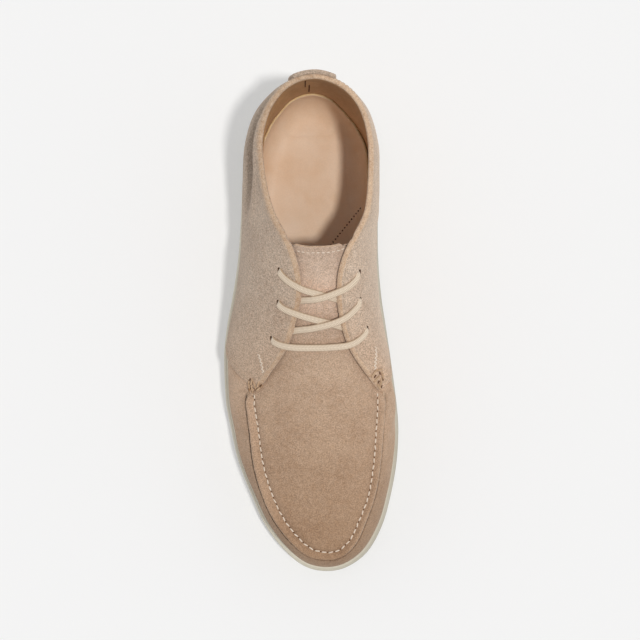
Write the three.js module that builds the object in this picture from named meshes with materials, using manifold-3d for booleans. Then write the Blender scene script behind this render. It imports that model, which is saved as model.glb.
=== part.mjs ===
// A moc-toe suede chukka boot for the right foot, in millimetres.
// +Z is up, the toe points to -Y and the inner (medial) side of the foot is towards +X.
// Every form is worked out from the driving sizes and from tables whose rows are sections of the last.

import * as THREE from 'three';
import { mergeVertices } from 'three/addons/utils/BufferGeometryUtils.js';
import Module from 'manifold-3d';

const wasm = await Module();
wasm.setup();

// ---- driving sizes -------------------------------------------------------------------------

const LENGTH = 296;
const BALL_WIDTH = 106.3;
const COLLAR_HEIGHT = 105;
const INSTEP_HEIGHT = 111;
const WALL = 2.6;
const GAP = 0.3;

const TONGUE_WALL = 2.2;
const TONGUE_DROP = 0.9;
const INSOLE_THICK = 3;
const INSOLE_RIM = 1.8;
const TAB_WALL = 1.3;
const LACE_WIDTH = 4.6;
const LACE_THICK = 1.2;
const EYELET_RADIUS = 2.3;

// How a wall section's curve is drawn: the swell of its foot, the height of that swell as a share of
// the wall, and how far its top keeps the slope, as a share of the wall and of its plan distance.
const BELLY_PULL = 1.8;
const BELLY_HEIGHT = 0.4;
const TOP_REACH = 0.32;
const TOP_REACH_PLAN = 0.7;
const CURVE_STEPS = 28;
const LAP_STEPS = 5;
const LEAST_LAP = 0.5;

const STEPS_PER_SECTION = 3;
const WALL_ROWS = 7;
const TAB_ROWS = 12;
const TAB_STRIPS = 4;
const TAB_HALF = 0.66;
const CROWN_COLUMNS = 12;
const TONGUE_ROWS = 16;
const TONGUE_COLUMNS = 10;
const CROWN_HALF = 40;
const CROWN_POWER = 2.2;

// ---- tables --------------------------------------------------------------------------------

const table = (names, rows) => rows.map(
  (row) => Object.fromEntries(names.map((name, i) => [name, row[i]])),
);

// Sections from toe to heel. at, lateral and medial are the sole's outline; rimAt, rimLateral and
// rimMedial are the upper's top line there: the apron seam in front, then the eyelet flap's edge,
// then the collar. Lengths are shares of LENGTH from the toe, widths shares of BALL_WIDTH from the
// middle. height is the top line's share of COLLAR_HEIGHT, or null where it lies on the crown.
// slope is the wall's angle there in degrees, null on the crown; belly is how far the wall swells
// in mm; lap is the stretch of wall in mm that follows the crown.
const SECTIONS = table(
  ['name', 'at', 'lateral', 'medial', 'rimAt', 'rimLateral', 'rimMedial', 'height', 'slope', 'belly', 'lap'],
  [
    ['toe tip', 0.000, 0.091, 0.091, 0.034, 0.095, 0.095, null, 62, 1.5, 0],
    ['toe', 0.009, -0.032, 0.209, 0.042, -0.013, 0.179, null, 62, 1.5, 0],
    ['toe corner', 0.040, -0.146, 0.324, 0.069, -0.107, 0.251, null, 60, 1.5, 0],
    ['toe side', 0.093, -0.262, 0.407, 0.113, -0.201, 0.305, null, 60, 1.8, 0],
    ['vamp point', 0.157, -0.344, 0.458, 0.162, -0.265, 0.353, null, 60, 2.0, 0],
    ['fore vamp', 0.223, -0.415, 0.490, 0.223, -0.313, 0.381, null, 60, 2.2, 0],
    ['ball', 0.287, -0.457, 0.500, 0.291, -0.334, 0.396, null, 60, 2.4, 0],
    ['seam end', 0.334, -0.483, 0.492, 0.356, -0.352, 0.406, null, 58, 2.4, 0],
    ['wing tip', 0.365, -0.491, 0.482, 0.376, -0.294, 0.376, null, null, 2.2, 6],
    ['throat', 0.402, -0.496, 0.468, 0.409, -0.231, 0.308, null, null, 2.0, 10],
    ['waist', 0.449, -0.496, 0.449, 0.456, -0.142, 0.222, null, null, 2.0, 10],
    ['low eyelet', 0.503, -0.479, 0.426, 0.510, -0.088, 0.170, null, null, 2.0, 10],
    ['instep', 0.551, -0.453, 0.405, 0.561, -0.059, 0.151, null, null, 2.0, 10],
    ['high eyelet', 0.598, -0.431, 0.391, 0.608, -0.071, 0.162, null, null, 2.0, 10],
    ['flap corner', 0.645, -0.414, 0.383, 0.654, -0.113, 0.211, null, 50, 2.0, 3],
    ['ankle front', 0.686, -0.406, 0.381, 0.682, -0.161, 0.262, 0.981, 58, 2.2, 0],
    ['ankle', 0.733, -0.398, 0.381, 0.726, -0.224, 0.318, 0.914, 68, 2.6, 0],
    ['ankle dip', 0.794, -0.391, 0.383, 0.794, -0.270, 0.337, 0.886, 77, 2.8, 0],
    ['heel side', 0.865, -0.376, 0.376, 0.867, -0.281, 0.333, 0.910, 82, 2.6, 0],
    ['heel corner', 0.931, -0.317, 0.322, 0.929, -0.224, 0.277, 0.952, 84, 2.0, 0],
    ['heel turn', 0.981, -0.179, 0.185, 0.969, -0.127, 0.169, 0.986, 86, 1.6, 0],
    ['heel back', 1.000, 0.007, 0.007, 0.985, 0.018, 0.018, 1.000, 86, 1.6, 0],
  ],
);

// The top of the instep, as sections across the foot: ridge is where its highest line runs, height
// that line's share of INSTEP_HEIGHT, and drop how far it has fallen CROWN_HALF mm to either side.
const CROWN = table(['at', 'ridge', 'height', 'drop'], [
  [0.034, 0.095, 0.387, 12],
  [0.054, 0.089, 0.414, 12],
  [0.091, 0.079, 0.441, 12],
  [0.176, 0.075, 0.482, 12.5],
  [0.243, 0.070, 0.527, 14],
  [0.311, 0.065, 0.586, 16],
  [0.378, 0.061, 0.658, 19],
  [0.456, 0.056, 0.757, 22],
  [0.561, 0.051, 0.889, 26],
  [0.654, 0.048, 1.000, 30],
]);

// The sole along its length, in mm: tread is its underside, ledge its top, step how far the upper
// stands in from its edge, cup how far the insole's rim rises, padLateral and padMedial the room
// between that rim and the upper, which the heel's padding fills.
const UNDERFOOT = table(['at', 'tread', 'ledge', 'step', 'cup', 'padLateral', 'padMedial'], [
  [0.00, 8.5, 20.5, 4.5, 0.4, 0.6, 0.6],
  [0.09, 3.2, 17.0, 4.3, 0.4, 0.6, 0.6],
  [0.18, 0.0, 15.0, 4.2, 0.4, 0.6, 0.6],
  [0.38, 0.0, 14.0, 3.8, 1.0, 0.6, 0.6],
  [0.46, 3.0, 15.2, 3.4, 3.0, 0.6, 0.6],
  [0.56, 4.5, 17.6, 3.0, 6.0, 0.6, 0.6],
  [0.66, 2.6, 20.2, 2.6, 9.0, 0.8, 0.6],
  [0.70, 0.0, 21.2, 2.4, 11.0, 1.4, 0.6],
  [0.86, 0.0, 23.0, 2.2, 13.6, 4.6, 1.9],
  [0.95, 0.0, 24.0, 2.0, 15.0, 5.6, 4.4],
  [1.00, 2.2, 24.6, 2.0, 16.0, 5.0, 5.0],
]);

// The sole's edge from tread to ledge: inset in mm, and rise as a share of its thickness.
const SOLE_EDGE = table(['inset', 'rise'], [
  [3.0, 0.00],
  [0.9, 0.10],
  [0.0, 0.32],
  [0.0, 0.68],
  [0.8, 0.90],
  [2.0, 1.00],
]);

// The tongue's edges in mm from the middle of the width, from under the apron to its top edge.
const TONGUE = table(['at', 'lateral', 'medial'], [
  [0.350, -30, 35.5],
  [0.373, -32.5, 41],
  [0.402, -30, 38.5],
  [0.456, -22.5, 30.5],
  [0.510, -17.5, 25.5],
  [0.561, -14.5, 23.5],
  [0.608, -15.0, 21.0],
  [0.640, -14.0, 18.3],
  [0.654, -10.5, 16.5],
]);

// Eyelets on the flaps, in mm from the middle of the length and width.
const EYELETS = table(['row', 'y', 'lateral', 'medial'], [
  ['low', -3.2, -23.2, 32.6],
  ['middle', 15.8, -18.6, 28.4],
  ['high', 32.3, -17.2, 28.0],
]);

// Grooves across the tread: places are shares of LENGTH from the toe.
const TREAD_BARS = {
  depth: 2.2,
  width: 3.2,
  places: [0.17, 0.22, 0.27, 0.32, 0.37, 0.74, 0.79, 0.84, 0.89, 0.94],
};

// ---- curves through a table ----------------------------------------------------------------

const along = (share) => (share - 0.5) * LENGTH;
const across = (share) => share * BALL_WIDTH;

// A smooth curve through a column's values at their own places, which never overshoots them.
function column(rows, name) {
  const x = rows.map((row) => along(row.at));
  const y = rows.map((row) => row[name]);
  const last = x.length - 1;
  const rise = x.slice(1).map((_, i) => (y[i + 1] - y[i]) / (x[i + 1] - x[i]));
  const tilt = x.map((_, i) => {
    const [before, after] = [rise[Math.max(i - 1, 0)], rise[Math.min(i, last - 1)]];
    return before * after > 0 ? (2 * before * after) / (before + after) : 0;
  });
  return (place) => {
    const p = THREE.MathUtils.clamp(place, x[0], x[last]);
    const i = Math.min(x.findLastIndex((knot) => knot <= p), last - 1);
    const h = x[i + 1] - x[i];
    const t = (p - x[i]) / h;
    const s = 1 - t;
    return s * s * (1 + 2 * t) * y[i] + t * t * (3 - 2 * t) * y[i + 1]
      + s * t * h * (s * tilt[i] - t * tilt[i + 1]);
  };
}

const ridgeAt = column(CROWN, 'ridge');
const ridgeHeight = column(CROWN, 'height');
const crownDrop = column(CROWN, 'drop');
const treadAt = column(UNDERFOOT, 'tread');
const ledgeAt = column(UNDERFOOT, 'ledge');
const stepAt = column(UNDERFOOT, 'step');
const cupAt = column(UNDERFOOT, 'cup');
const padLateral = column(UNDERFOOT, 'padLateral');
const padMedial = column(UNDERFOOT, 'padMedial');

// The height of the instep's surface over a point.
function crown(x, y) {
  const off = Math.abs(x - across(ridgeAt(y))) / CROWN_HALF;
  return INSTEP_HEIGHT * ridgeHeight(y) - crownDrop(y) * off ** CROWN_POWER;
}

function crownNormal(x, y) {
  const d = 0.5;
  const slopeX = (crown(x + d, y) - crown(x - d, y)) / (2 * d);
  const slopeY = (crown(x, y + d) - crown(x, y - d)) / (2 * d);
  return new THREE.Vector3(-slopeX, -slopeY, 1).normalize();
}

// ---- the loop round the last: toe, lateral side, heel, medial side -------------------------

const HALF = SECTIONS.length - 1;
const LOOP = 2 * HALF;

// A smooth closed curve through one value per section and side.
function loopOf(valueAt) {
  const values = Array.from({ length: LOOP }, (_, k) => {
    const lateral = k <= HALF;
    return valueAt(SECTIONS[lateral ? k : LOOP - k], lateral ? 'Lateral' : 'Medial');
  });
  return (u) => {
    const i = Math.floor(u);
    const t = u - i;
    const [a, b, c, d] = [-1, 0, 1, 2].map((step) => values[(((i + step) % LOOP) + LOOP) % LOOP]);
    return b + 0.5 * t * (c - a + t * (2 * a - 5 * b + 4 * c - d + t * (3 * (b - c) + d - a)));
  };
}

const outlineX = loopOf((row, side) => across(side === 'Lateral' ? row.lateral : row.medial));
const outlineY = loopOf((row) => along(row.at));
const rimX = loopOf((row, side) => across(row[`rim${side}`]));
const rimY = loopOf((row) => along(row.rimAt));
const rimZ = loopOf((row, side) => (row.height === null
  ? crown(across(row[`rim${side}`]), along(row.rimAt))
  : row.height * COLLAR_HEIGHT));
const belly = loopOf((row) => row.belly);
const lap = loopOf((row) => row.lap);
const slope = loopOf((row, side) => {
  if (row.slope !== null) return row.slope;
  const out = side === 'Lateral' ? -1 : 1;
  const x = across(row[`rim${side}`]) + out * row.lap;
  const y = along(row.rimAt);
  const fall = crown(x - out * 0.5, y) - crown(x + out * 0.5, y);
  return THREE.MathUtils.radToDeg(Math.atan(fall));
});

// The plan direction that points into the shoe from its outline.
function inward(u) {
  const d = 0.05;
  const tangent = new THREE.Vector3(
    outlineX(u + d) - outlineX(u - d), outlineY(u + d) - outlineY(u - d), 0,
  ).normalize();
  return new THREE.Vector3(tangent.y, -tangent.x, 0);
}

// A point of the outline moved in by some millimetres, at a height given by a function of y.
function onOutline(u, inset, heightAt) {
  const y = outlineY(u);
  const point = new THREE.Vector3(outlineX(u), y, 0).addScaledVector(inward(u), inset);
  point.z = heightAt(y);
  return point;
}

// One section of the upper's outer surface, from the sole's ledge to the top line, as points a
// steady distance apart.
function wallSection(u, rows) {
  const foot = onOutline(u, stepAt(outlineY(u)), (y) => ledgeAt(y) + GAP);
  const rim = new THREE.Vector3(rimX(u), rimY(u), rimZ(u));
  const inner = inward(u);
  const lapLength = Math.max(lap(u), 0);
  const onCrown = (back) => {
    const p = rim.clone().addScaledVector(inner, -back);
    p.z = rim.z + (crown(p.x, p.y) - crown(rim.x, rim.y));
    return p;
  };
  const knee = lapLength > LEAST_LAP ? onCrown(lapLength) : rim.clone();
  const tilt = THREE.MathUtils.degToRad(slope(u));
  const plan = Math.hypot(knee.x - foot.x, knee.y - foot.y);
  const reach = Math.min(
    TOP_REACH * knee.distanceTo(foot), (TOP_REACH_PLAN * plan) / Math.cos(tilt),
  );
  const low = foot.clone().addScaledVector(inner, -BELLY_PULL * belly(u));
  low.z += (knee.z - foot.z) * BELLY_HEIGHT;
  const high = knee.clone().addScaledVector(inner, -reach * Math.cos(tilt));
  high.z -= reach * Math.sin(tilt);
  const curve = new THREE.CubicBezierCurve3(foot, low, high, knee);
  const points = curve.getPoints(CURVE_STEPS);
  for (let i = 1; lapLength > LEAST_LAP && i <= LAP_STEPS; i += 1) {
    points.push(onCrown(lapLength * (1 - i / LAP_STEPS)));
  }
  const run = [0];
  for (let i = 1; i < points.length; i += 1) {
    run.push(run[i - 1] + points[i].distanceTo(points[i - 1]));
  }
  return Array.from({ length: rows + 1 }, (_, j) => {
    const want = (run.at(-1) * j) / rows;
    const i = Math.max(1, run.findIndex((length) => length >= want - 1e-9));
    const t = (want - run[i - 1]) / (run[i] - run[i - 1]);
    return points[i - 1].clone().lerp(points[i], t);
  });
}

// ---- surfaces and solids -------------------------------------------------------------------

// A triangle sheet under construction: points that lie together are one point.
class Sheet {
  constructor() {
    this.points = [];
    this.faces = [];
    this.index = new Map();
    this.level = new Set();
  }

  add(point) {
    const key = point.toArray().map((value) => Math.round(value * 1000)).join();
    if (!this.index.has(key)) {
      this.index.set(key, this.points.length);
      this.points.push(point.clone());
    }
    return this.index.get(key);
  }

  triangle(a, b, c) {
    if (a !== b && b !== c && c !== a) this.faces.push([a, b, c]);
  }

  // Rows of points, joined by two triangles a cell, facing as (next row) x (next column).
  grid(rows, closed = false) {
    const ids = rows.map((row) => row.map((point) => this.add(point)));
    for (let j = 0; j + 1 < ids.length; j += 1) {
      const width = ids[j].length;
      for (let i = 0; i + (closed ? 0 : 1) < width; i += 1) {
        const n = (i + 1) % width;
        this.triangle(ids[j][i], ids[j + 1][n], ids[j][n]);
        this.triangle(ids[j][i], ids[j + 1][i], ids[j + 1][n]);
      }
    }
    return ids;
  }

  // The average facing at each point; points in level keep theirs horizontal.
  normals() {
    const sums = this.points.map(() => new THREE.Vector3());
    const ab = new THREE.Vector3();
    const ac = new THREE.Vector3();
    this.faces.forEach((face) => {
      const [a, b, c] = face.map((id) => this.points[id]);
      ab.subVectors(b, a);
      ac.subVectors(c, a);
      ab.cross(ac);
      face.forEach((id) => sums[id].add(ab));
    });
    this.level.forEach((id) => sums[id].setZ(0));
    return sums.map((sum) => sum.normalize());
  }

  // The closed solid between two offsets of the sheet along its normals.
  thicken(outer, inner) {
    const normals = this.normals();
    const moved = (by) => this.points.map((p, i) => p.clone().addScaledVector(normals[i], by));
    const count = this.points.length;
    const faces = [...this.faces];
    this.faces.forEach(([a, b, c]) => faces.push([a + count, c + count, b + count]));
    const edges = new Set(this.faces.flatMap(([a, b, c]) => [`${a},${b}`, `${b},${c}`, `${c},${a}`]));
    edges.forEach((edge) => {
      const [a, b] = edge.split(',').map(Number);
      if (!edges.has(`${b},${a}`)) faces.push([b, a, a + count], [b, a + count, b + count]);
    });
    return geometryOf([...moved(outer), ...moved(inner)], faces);
  }

  solid() {
    return geometryOf(this.points, this.faces);
  }
}

function geometryOf(points, faces) {
  const geometry = new THREE.BufferGeometry().setFromPoints(points);
  geometry.setIndex(faces.flat());
  return geometry;
}

function toManifold(geometry) {
  const bare = geometry.clone();
  bare.deleteAttribute('normal');
  bare.deleteAttribute('uv');
  const merged = mergeVertices(bare, 1e-3);
  return new wasm.Manifold(new wasm.Mesh({
    numProp: 3,
    vertProperties: new Float32Array(merged.attributes.position.array),
    triVerts: new Uint32Array(merged.index.array),
  }));
}

function fromManifold(solid) {
  const mesh = solid.getMesh();
  const geometry = new THREE.BufferGeometry();
  geometry.setAttribute('position', new THREE.BufferAttribute(mesh.vertProperties, mesh.numProp));
  geometry.setIndex(new THREE.BufferAttribute(mesh.triVerts, 1));
  return geometry;
}

// ---- the upper -----------------------------------------------------------------------------

const LOOP_STEPS = LOOP * STEPS_PER_SECTION;
const loopPlaces = Array.from({ length: LOOP_STEPS }, (_, k) => k / STEPS_PER_SECTION);
const sections = loopPlaces.map((u) => wallSection(u, WALL_ROWS));
const THROAT = SECTIONS.findIndex((row) => row.name === 'wing tip');

// The apron's surface between two facing points of the top line.
function crownRow(k) {
  const left = sections[k].at(-1);
  const right = sections[(LOOP_STEPS - k) % LOOP_STEPS].at(-1);
  return Array.from({ length: CROWN_COLUMNS + 1 }, (_, i) => {
    const point = right.clone().lerp(left, i / CROWN_COLUMNS);
    if (i > 0 && i < CROWN_COLUMNS) point.z = crown(point.x, point.y);
    return point;
  });
}

function upperGeometry() {
  const sheet = new Sheet();
  const wallRows = Array.from({ length: WALL_ROWS + 1 }, (_, j) => sections.map((s) => s[j]));
  const ids = sheet.grid(wallRows, true);
  ids[0].forEach((id) => sheet.level.add(id));
  const apron = Array.from({ length: THROAT * STEPS_PER_SECTION + 1 }, (_, k) => crownRow(k));
  sheet.grid(apron);
  let solid = toManifold(sheet.thicken(0, -WALL));
  EYELETS.forEach(({ y, lateral, medial }) => [lateral, medial].forEach((x) => {
    const punch = new THREE.CylinderGeometry(EYELET_RADIUS, EYELET_RADIUS, 12, 10);
    punch.applyQuaternion(new THREE.Quaternion().setFromUnitVectors(
      new THREE.Vector3(0, 1, 0), crownNormal(x, y),
    ));
    punch.translate(x, y, crown(x, y));
    solid = solid.subtract(toManifold(punch));
  }));
  return fromManifold(solid);
}

// ---- tongue, heel tab ----------------------------------------------------------------------

function tongueGeometry() {
  const sheet = new Sheet();
  const lateral = column(TONGUE, 'lateral');
  const medial = column(TONGUE, 'medial');
  const start = along(TONGUE[0].at);
  const end = along(TONGUE.at(-1).at);
  const surface = Array.from({ length: TONGUE_ROWS + 1 }, (_, j) => {
    const y = start + ((end - start) * j) / TONGUE_ROWS;
    return Array.from({ length: TONGUE_COLUMNS + 1 }, (_, i) => {
      const x = THREE.MathUtils.lerp(medial(y), lateral(y), i / TONGUE_COLUMNS);
      return new THREE.Vector3(x, y, crown(x, y));
    });
  });
  sheet.grid(surface);
  const under = -(WALL + TONGUE_DROP);
  return sheet.thicken(under, under - TONGUE_WALL);
}

// A strip of the upper's own surface over the back seam, standing proud of it.
function heelTabGeometry() {
  const sheet = new Sheet();
  const rows = Array.from({ length: 2 * TAB_STRIPS + 1 }, (_, i) => (
    wallSection(HALF + TAB_HALF * (i / TAB_STRIPS - 1), TAB_ROWS).slice(1)
  ));
  const surface = rows[0].map((_, j) => rows.map((row) => row[j]));
  sheet.grid(surface);
  return sheet.thicken(GAP + TAB_WALL, GAP);
}

// ---- sole and insole -----------------------------------------------------------------------

// A solid built of rings round the outline, each closed across the shoe at the bottom and the top.
function ringedSolid(rings) {
  const sheet = new Sheet();
  sheet.grid(rings, true);
  const half = rings[0].length / 2;
  const ladder = (ring) => Array.from({ length: half + 1 }, (_, k) => (
    [ring[(2 * half - k) % (2 * half)], ring[k]]
  ));
  sheet.grid(ladder(rings.at(-1)));
  sheet.grid(ladder(rings[0]).map(([a, b]) => [b, a]));
  return sheet.solid();
}

function outsoleGeometry() {
  const rings = SOLE_EDGE.map(({ inset, rise }) => loopPlaces.map((u) => (
    onOutline(u, inset, (y) => THREE.MathUtils.lerp(treadAt(y), ledgeAt(y), rise))
  )));
  let solid = toManifold(ringedSolid(rings));
  TREAD_BARS.places.forEach((share) => {
    const bar = new THREE.BoxGeometry(BALL_WIDTH * 2, TREAD_BARS.width, TREAD_BARS.depth * 2);
    bar.translate(0, along(share), 0);
    solid = solid.subtract(toManifold(bar));
  });
  return fromManifold(solid);
}

function insoleGeometry() {
  const side = (u, y) => stepAt(y) + WALL + (u < HALF ? padLateral(y) : padMedial(y));
  const bottom = (y) => ledgeAt(y) + GAP;
  const floor = (y) => bottom(y) + INSOLE_THICK;
  const ring = (extra, heightAt) => loopPlaces.map((u) => {
    const y = outlineY(u);
    return onOutline(u, side(u, y) + extra(y), () => heightAt(y));
  });
  const rings = [
    ring(() => 0, bottom),
    ring(() => 0, (y) => floor(y) + cupAt(y) - 0.2),
    ring(() => INSOLE_RIM, (y) => floor(y) + cupAt(y)),
    ring((y) => INSOLE_RIM + 0.5 + cupAt(y) * 0.12, (y) => floor(y) + cupAt(y) * 0.25),
    ring((y) => INSOLE_RIM + 2 + cupAt(y) * 0.35, floor),
  ];
  return ringedSolid(rings);
}

// ---- laces ---------------------------------------------------------------------------------

// A flat ribbon along points that lie on the crown, each lifted by its own height.
function ribbonGeometry(route, steps) {
  const curve = new THREE.CatmullRomCurve3(route.map(({ x, y, lift }) => {
    const normal = crownNormal(x, y);
    return new THREE.Vector3(x, y, crown(x, y)).addScaledVector(normal, lift);
  }), false, 'centripetal');
  const rings = Array.from({ length: steps + 1 }, (_, i) => {
    const centre = curve.getPointAt(i / steps);
    const forward = curve.getTangentAt(i / steps);
    const up = crownNormal(centre.x, centre.y);
    const sideways = new THREE.Vector3().crossVectors(forward, up).normalize();
    up.crossVectors(sideways, forward);
    return [[-1, -1], [1, -1], [1, 1], [-1, 1]].map(([w, t]) => centre.clone()
      .addScaledVector(sideways, (w * LACE_WIDTH) / 2)
      .addScaledVector(up, (t * LACE_THICK) / 2));
  });
  const sheet = new Sheet();
  const ids = sheet.grid(rings, true);
  const [first, last] = [ids[0], ids.at(-1)];
  sheet.triangle(first[0], first[1], first[2]);
  sheet.triangle(first[0], first[2], first[3]);
  sheet.triangle(last[0], last[2], last[1]);
  sheet.triangle(last[0], last[3], last[2]);
  return sheet.solid();
}

const OVER_FLAP = GAP + 0.2 + LACE_THICK / 2;
const OVER_TONGUE = OVER_FLAP - WALL - TONGUE_DROP;

const eyelet = (name) => EYELETS.find(({ row }) => row === name);

// The bar between the lowest eyelets.
function laceBarGeometry() {
  const { y, lateral, medial } = eyelet('low');
  return ribbonGeometry([
    { x: lateral, y, lift: OVER_FLAP },
    { x: lateral + 9, y: y - 3.5, lift: OVER_FLAP },
    { x: (lateral + medial) / 2, y: y - 6, lift: OVER_FLAP - 0.4 },
    { x: medial - 9, y: y - 3.5, lift: OVER_FLAP },
    { x: medial, y, lift: OVER_FLAP },
  ], 16);
}

// Two laces that cross: each runs from its eyelet over the flap and down to the far flap's edge.
function laceCrossGeometry(name, end) {
  const { y, lateral, medial } = eyelet(name);
  const middle = (lateral + medial) / 2;
  const run = (from, to, rise) => ribbonGeometry([
    { x: from, y, lift: OVER_FLAP },
    { x: THREE.MathUtils.lerp(from, middle, 0.5), y: y - 2.5, lift: OVER_FLAP },
    { x: middle, y: THREE.MathUtils.lerp(y, end.y, 0.6), lift: OVER_FLAP - 1 + rise },
    { x: THREE.MathUtils.lerp(middle, to, 0.6), y: end.y + 2.5, lift: OVER_TONGUE + 0.5 },
    { x: to, y: end.y, lift: OVER_TONGUE },
  ], 14);
  const upperLace = toManifold(run(medial, end.lateral, LACE_THICK * 0.75));
  const lowerLace = toManifold(run(lateral, end.medial, 0));
  return fromManifold(upperLace.add(lowerLace));
}

// ---- the boot ------------------------------------------------------------------------------

const finish = (color, roughness) => new THREE.MeshStandardMaterial({ color, roughness, metalness: 0 });
const suede = finish('#b9a089', 0.95);
const suedeShade = finish('#c8b39f', 0.95);
const rubber = finish('#cfc4ab', 0.7);
const leather = finish('#d0b299', 0.55);
const cotton = finish('#d6c4b0', 0.85);

const boot = new THREE.Group();

function place(name, geometry, material) {
  const mesh = new THREE.Mesh(geometry, material);
  mesh.name = name;
  boot.add(mesh);
}

place('outsole', outsoleGeometry(), rubber);
place('insole', insoleGeometry(), leather);
place('upper', upperGeometry(), suede);
place('tongue', tongueGeometry(), suedeShade);
place('heel_tab', heelTabGeometry(), suede);
place('lace_bar', laceBarGeometry(), cotton);
place('lace_cross_lower', laceCrossGeometry('middle', { y: 1.5, lateral: -4.5, medial: 15.5 }), cotton);
place('lace_cross_upper', laceCrossGeometry('high', { y: 20, lateral: -2, medial: 13 }), cotton);

// The origin is under the middle of the boot, on the floor.
const box = new THREE.Box3().setFromObject(boot);
boot.position.set(-(box.min.x + box.max.x) / 2, -(box.min.y + box.max.y) / 2, -box.min.z);

export default boot;
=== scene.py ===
"""The looks of a moc-toe suede chukka boot, a right shoe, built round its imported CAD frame.

Every panel is cut from one surface, the last's, which is worked out in millimetres from the sizes
and section tables of the CAD solids: toe to -Y, inner (medial) side of the foot to +X.
"""

from __future__ import annotations

import logging
import math
from dataclasses import dataclass, field, replace
from enum import Enum
from typing import Callable, Sequence, Union

import bpy
import numpy as np
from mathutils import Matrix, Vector, noise
from mathutils.bvhtree import BVHTree

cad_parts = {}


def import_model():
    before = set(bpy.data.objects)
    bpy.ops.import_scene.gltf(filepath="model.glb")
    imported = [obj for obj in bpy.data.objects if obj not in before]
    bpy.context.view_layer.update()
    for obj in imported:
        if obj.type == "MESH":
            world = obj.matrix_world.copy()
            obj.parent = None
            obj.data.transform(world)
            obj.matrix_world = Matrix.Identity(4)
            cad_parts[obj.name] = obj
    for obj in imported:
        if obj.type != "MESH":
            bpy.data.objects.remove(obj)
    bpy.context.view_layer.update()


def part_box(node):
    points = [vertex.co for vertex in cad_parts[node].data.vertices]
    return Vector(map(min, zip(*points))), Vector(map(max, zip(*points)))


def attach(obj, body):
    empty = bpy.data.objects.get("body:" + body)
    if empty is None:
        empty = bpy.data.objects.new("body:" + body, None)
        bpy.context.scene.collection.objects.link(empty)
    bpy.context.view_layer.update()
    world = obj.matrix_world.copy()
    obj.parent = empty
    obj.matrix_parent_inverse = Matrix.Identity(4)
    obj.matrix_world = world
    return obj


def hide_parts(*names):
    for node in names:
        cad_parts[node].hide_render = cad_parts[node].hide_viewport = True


LOG = logging.getLogger("chukka")
MM = 0.001
Array = np.ndarray
Socket = bpy.types.NodeSocket
Value = Union[bpy.types.NodeSocket, float, Sequence[float]]


# ---- small geometry helpers ----------------------------------------------------------------


def unit(vectors: Array) -> Array:
    """Returns the vectors scaled to length one."""
    return vectors / np.maximum(np.linalg.norm(vectors, axis=-1, keepdims=True), 1e-12)


def smooth_step(low: float, high: float, value: Array) -> Array:
    """Returns 0 below low and 1 above high, with a smooth rise between."""
    t = np.clip((np.asarray(value, float) - low) / (high - low), 0, 1)
    return t * t * (3 - 2 * t)


def column(places: Sequence[float], values: Sequence[float]) -> Callable[[Array], Array]:
    """A smooth curve through values at their places, which never overshoots them.

    Args:
        places: Rising places along the curve.
        values: The value at each place.

    Returns:
        A function from places to values.
    """
    x, y = np.asarray(places, float), np.asarray(values, float)
    rise = np.diff(y) / np.diff(x)
    before, after = np.r_[rise[:1], rise], np.r_[rise, rise[-1:]]
    both = before * after
    tilt = np.where(both > 0, 2 * both / np.where(both > 0, before + after, 1), 0)

    def curve(place: Array) -> Array:
        """Reads the curve.

        Args:
            place: Places along it; past its ends it stays level.

        Returns:
            The curve's values at the places.
        """
        p = np.clip(place, x[0], x[-1])
        i = np.clip(np.searchsorted(x, p, "right") - 1, 0, len(x) - 2)
        h = x[i + 1] - x[i]
        t = (p - x[i]) / h
        s = 1 - t
        ends = s * s * (1 + 2 * t) * y[i] + t * t * (3 - 2 * t) * y[i + 1]
        return ends + s * t * h * (s * tilt[i] - t * tilt[i + 1])

    return curve


def loop_curve(values: Sequence[float]) -> Callable[[Array], Array]:
    """A smooth closed curve through values at the whole numbers.

    Args:
        values: One value for each whole number, round the loop.

    Returns:
        A function from places on the loop to values.
    """
    v = np.asarray(values, float)

    def curve(u: Array) -> Array:
        """Reads the curve.

        Args:
            u: Places on the loop.

        Returns:
            The curve's values at the places.
        """
        i = np.floor(u).astype(int)
        t = u - i
        a, b, c, d = (v[(i + step) % len(v)] for step in (-1, 0, 1, 2))
        return b + 0.5 * t * (c - a + t * (2 * a - 5 * b + 4 * c - d + t * (3 * (b - c) + d - a)))

    return curve


def run_of(points: Array) -> Array:
    """Returns the distance along a polyline at each of its points."""
    return np.r_[0, np.cumsum(np.linalg.norm(np.diff(points, axis=0), axis=1))]


def spaced(points: Array, pitch: float, start: float = 0.0) -> Array:
    """Places at a steady pitch along a polyline.

    Args:
        points: The polyline's points.
        pitch: The distance between two places.
        start: The first place's distance from the first point.

    Returns:
        Each place as a point number, with its fraction on the way to the next point.
    """
    run = run_of(points)
    wanted = np.arange(start, run[-1], pitch)
    return np.interp(wanted, run, np.arange(len(points)))


def rough(points: Array, size: float, seed: float) -> Array:
    """Soft unevenness, from -1 to 1, with bumps of about size mm.

    Args:
        points: Points in mm.
        size: The bumps' size in mm.
        seed: Shifts the pattern.

    Returns:
        One value for each point.
    """
    flat = points.reshape(-1, 3) / size + seed
    values = np.fromiter((noise.noise(Vector(p)) for p in flat), float, len(flat))
    return values.reshape(points.shape[:-1])


# ---- the last ------------------------------------------------------------------------------


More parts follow.
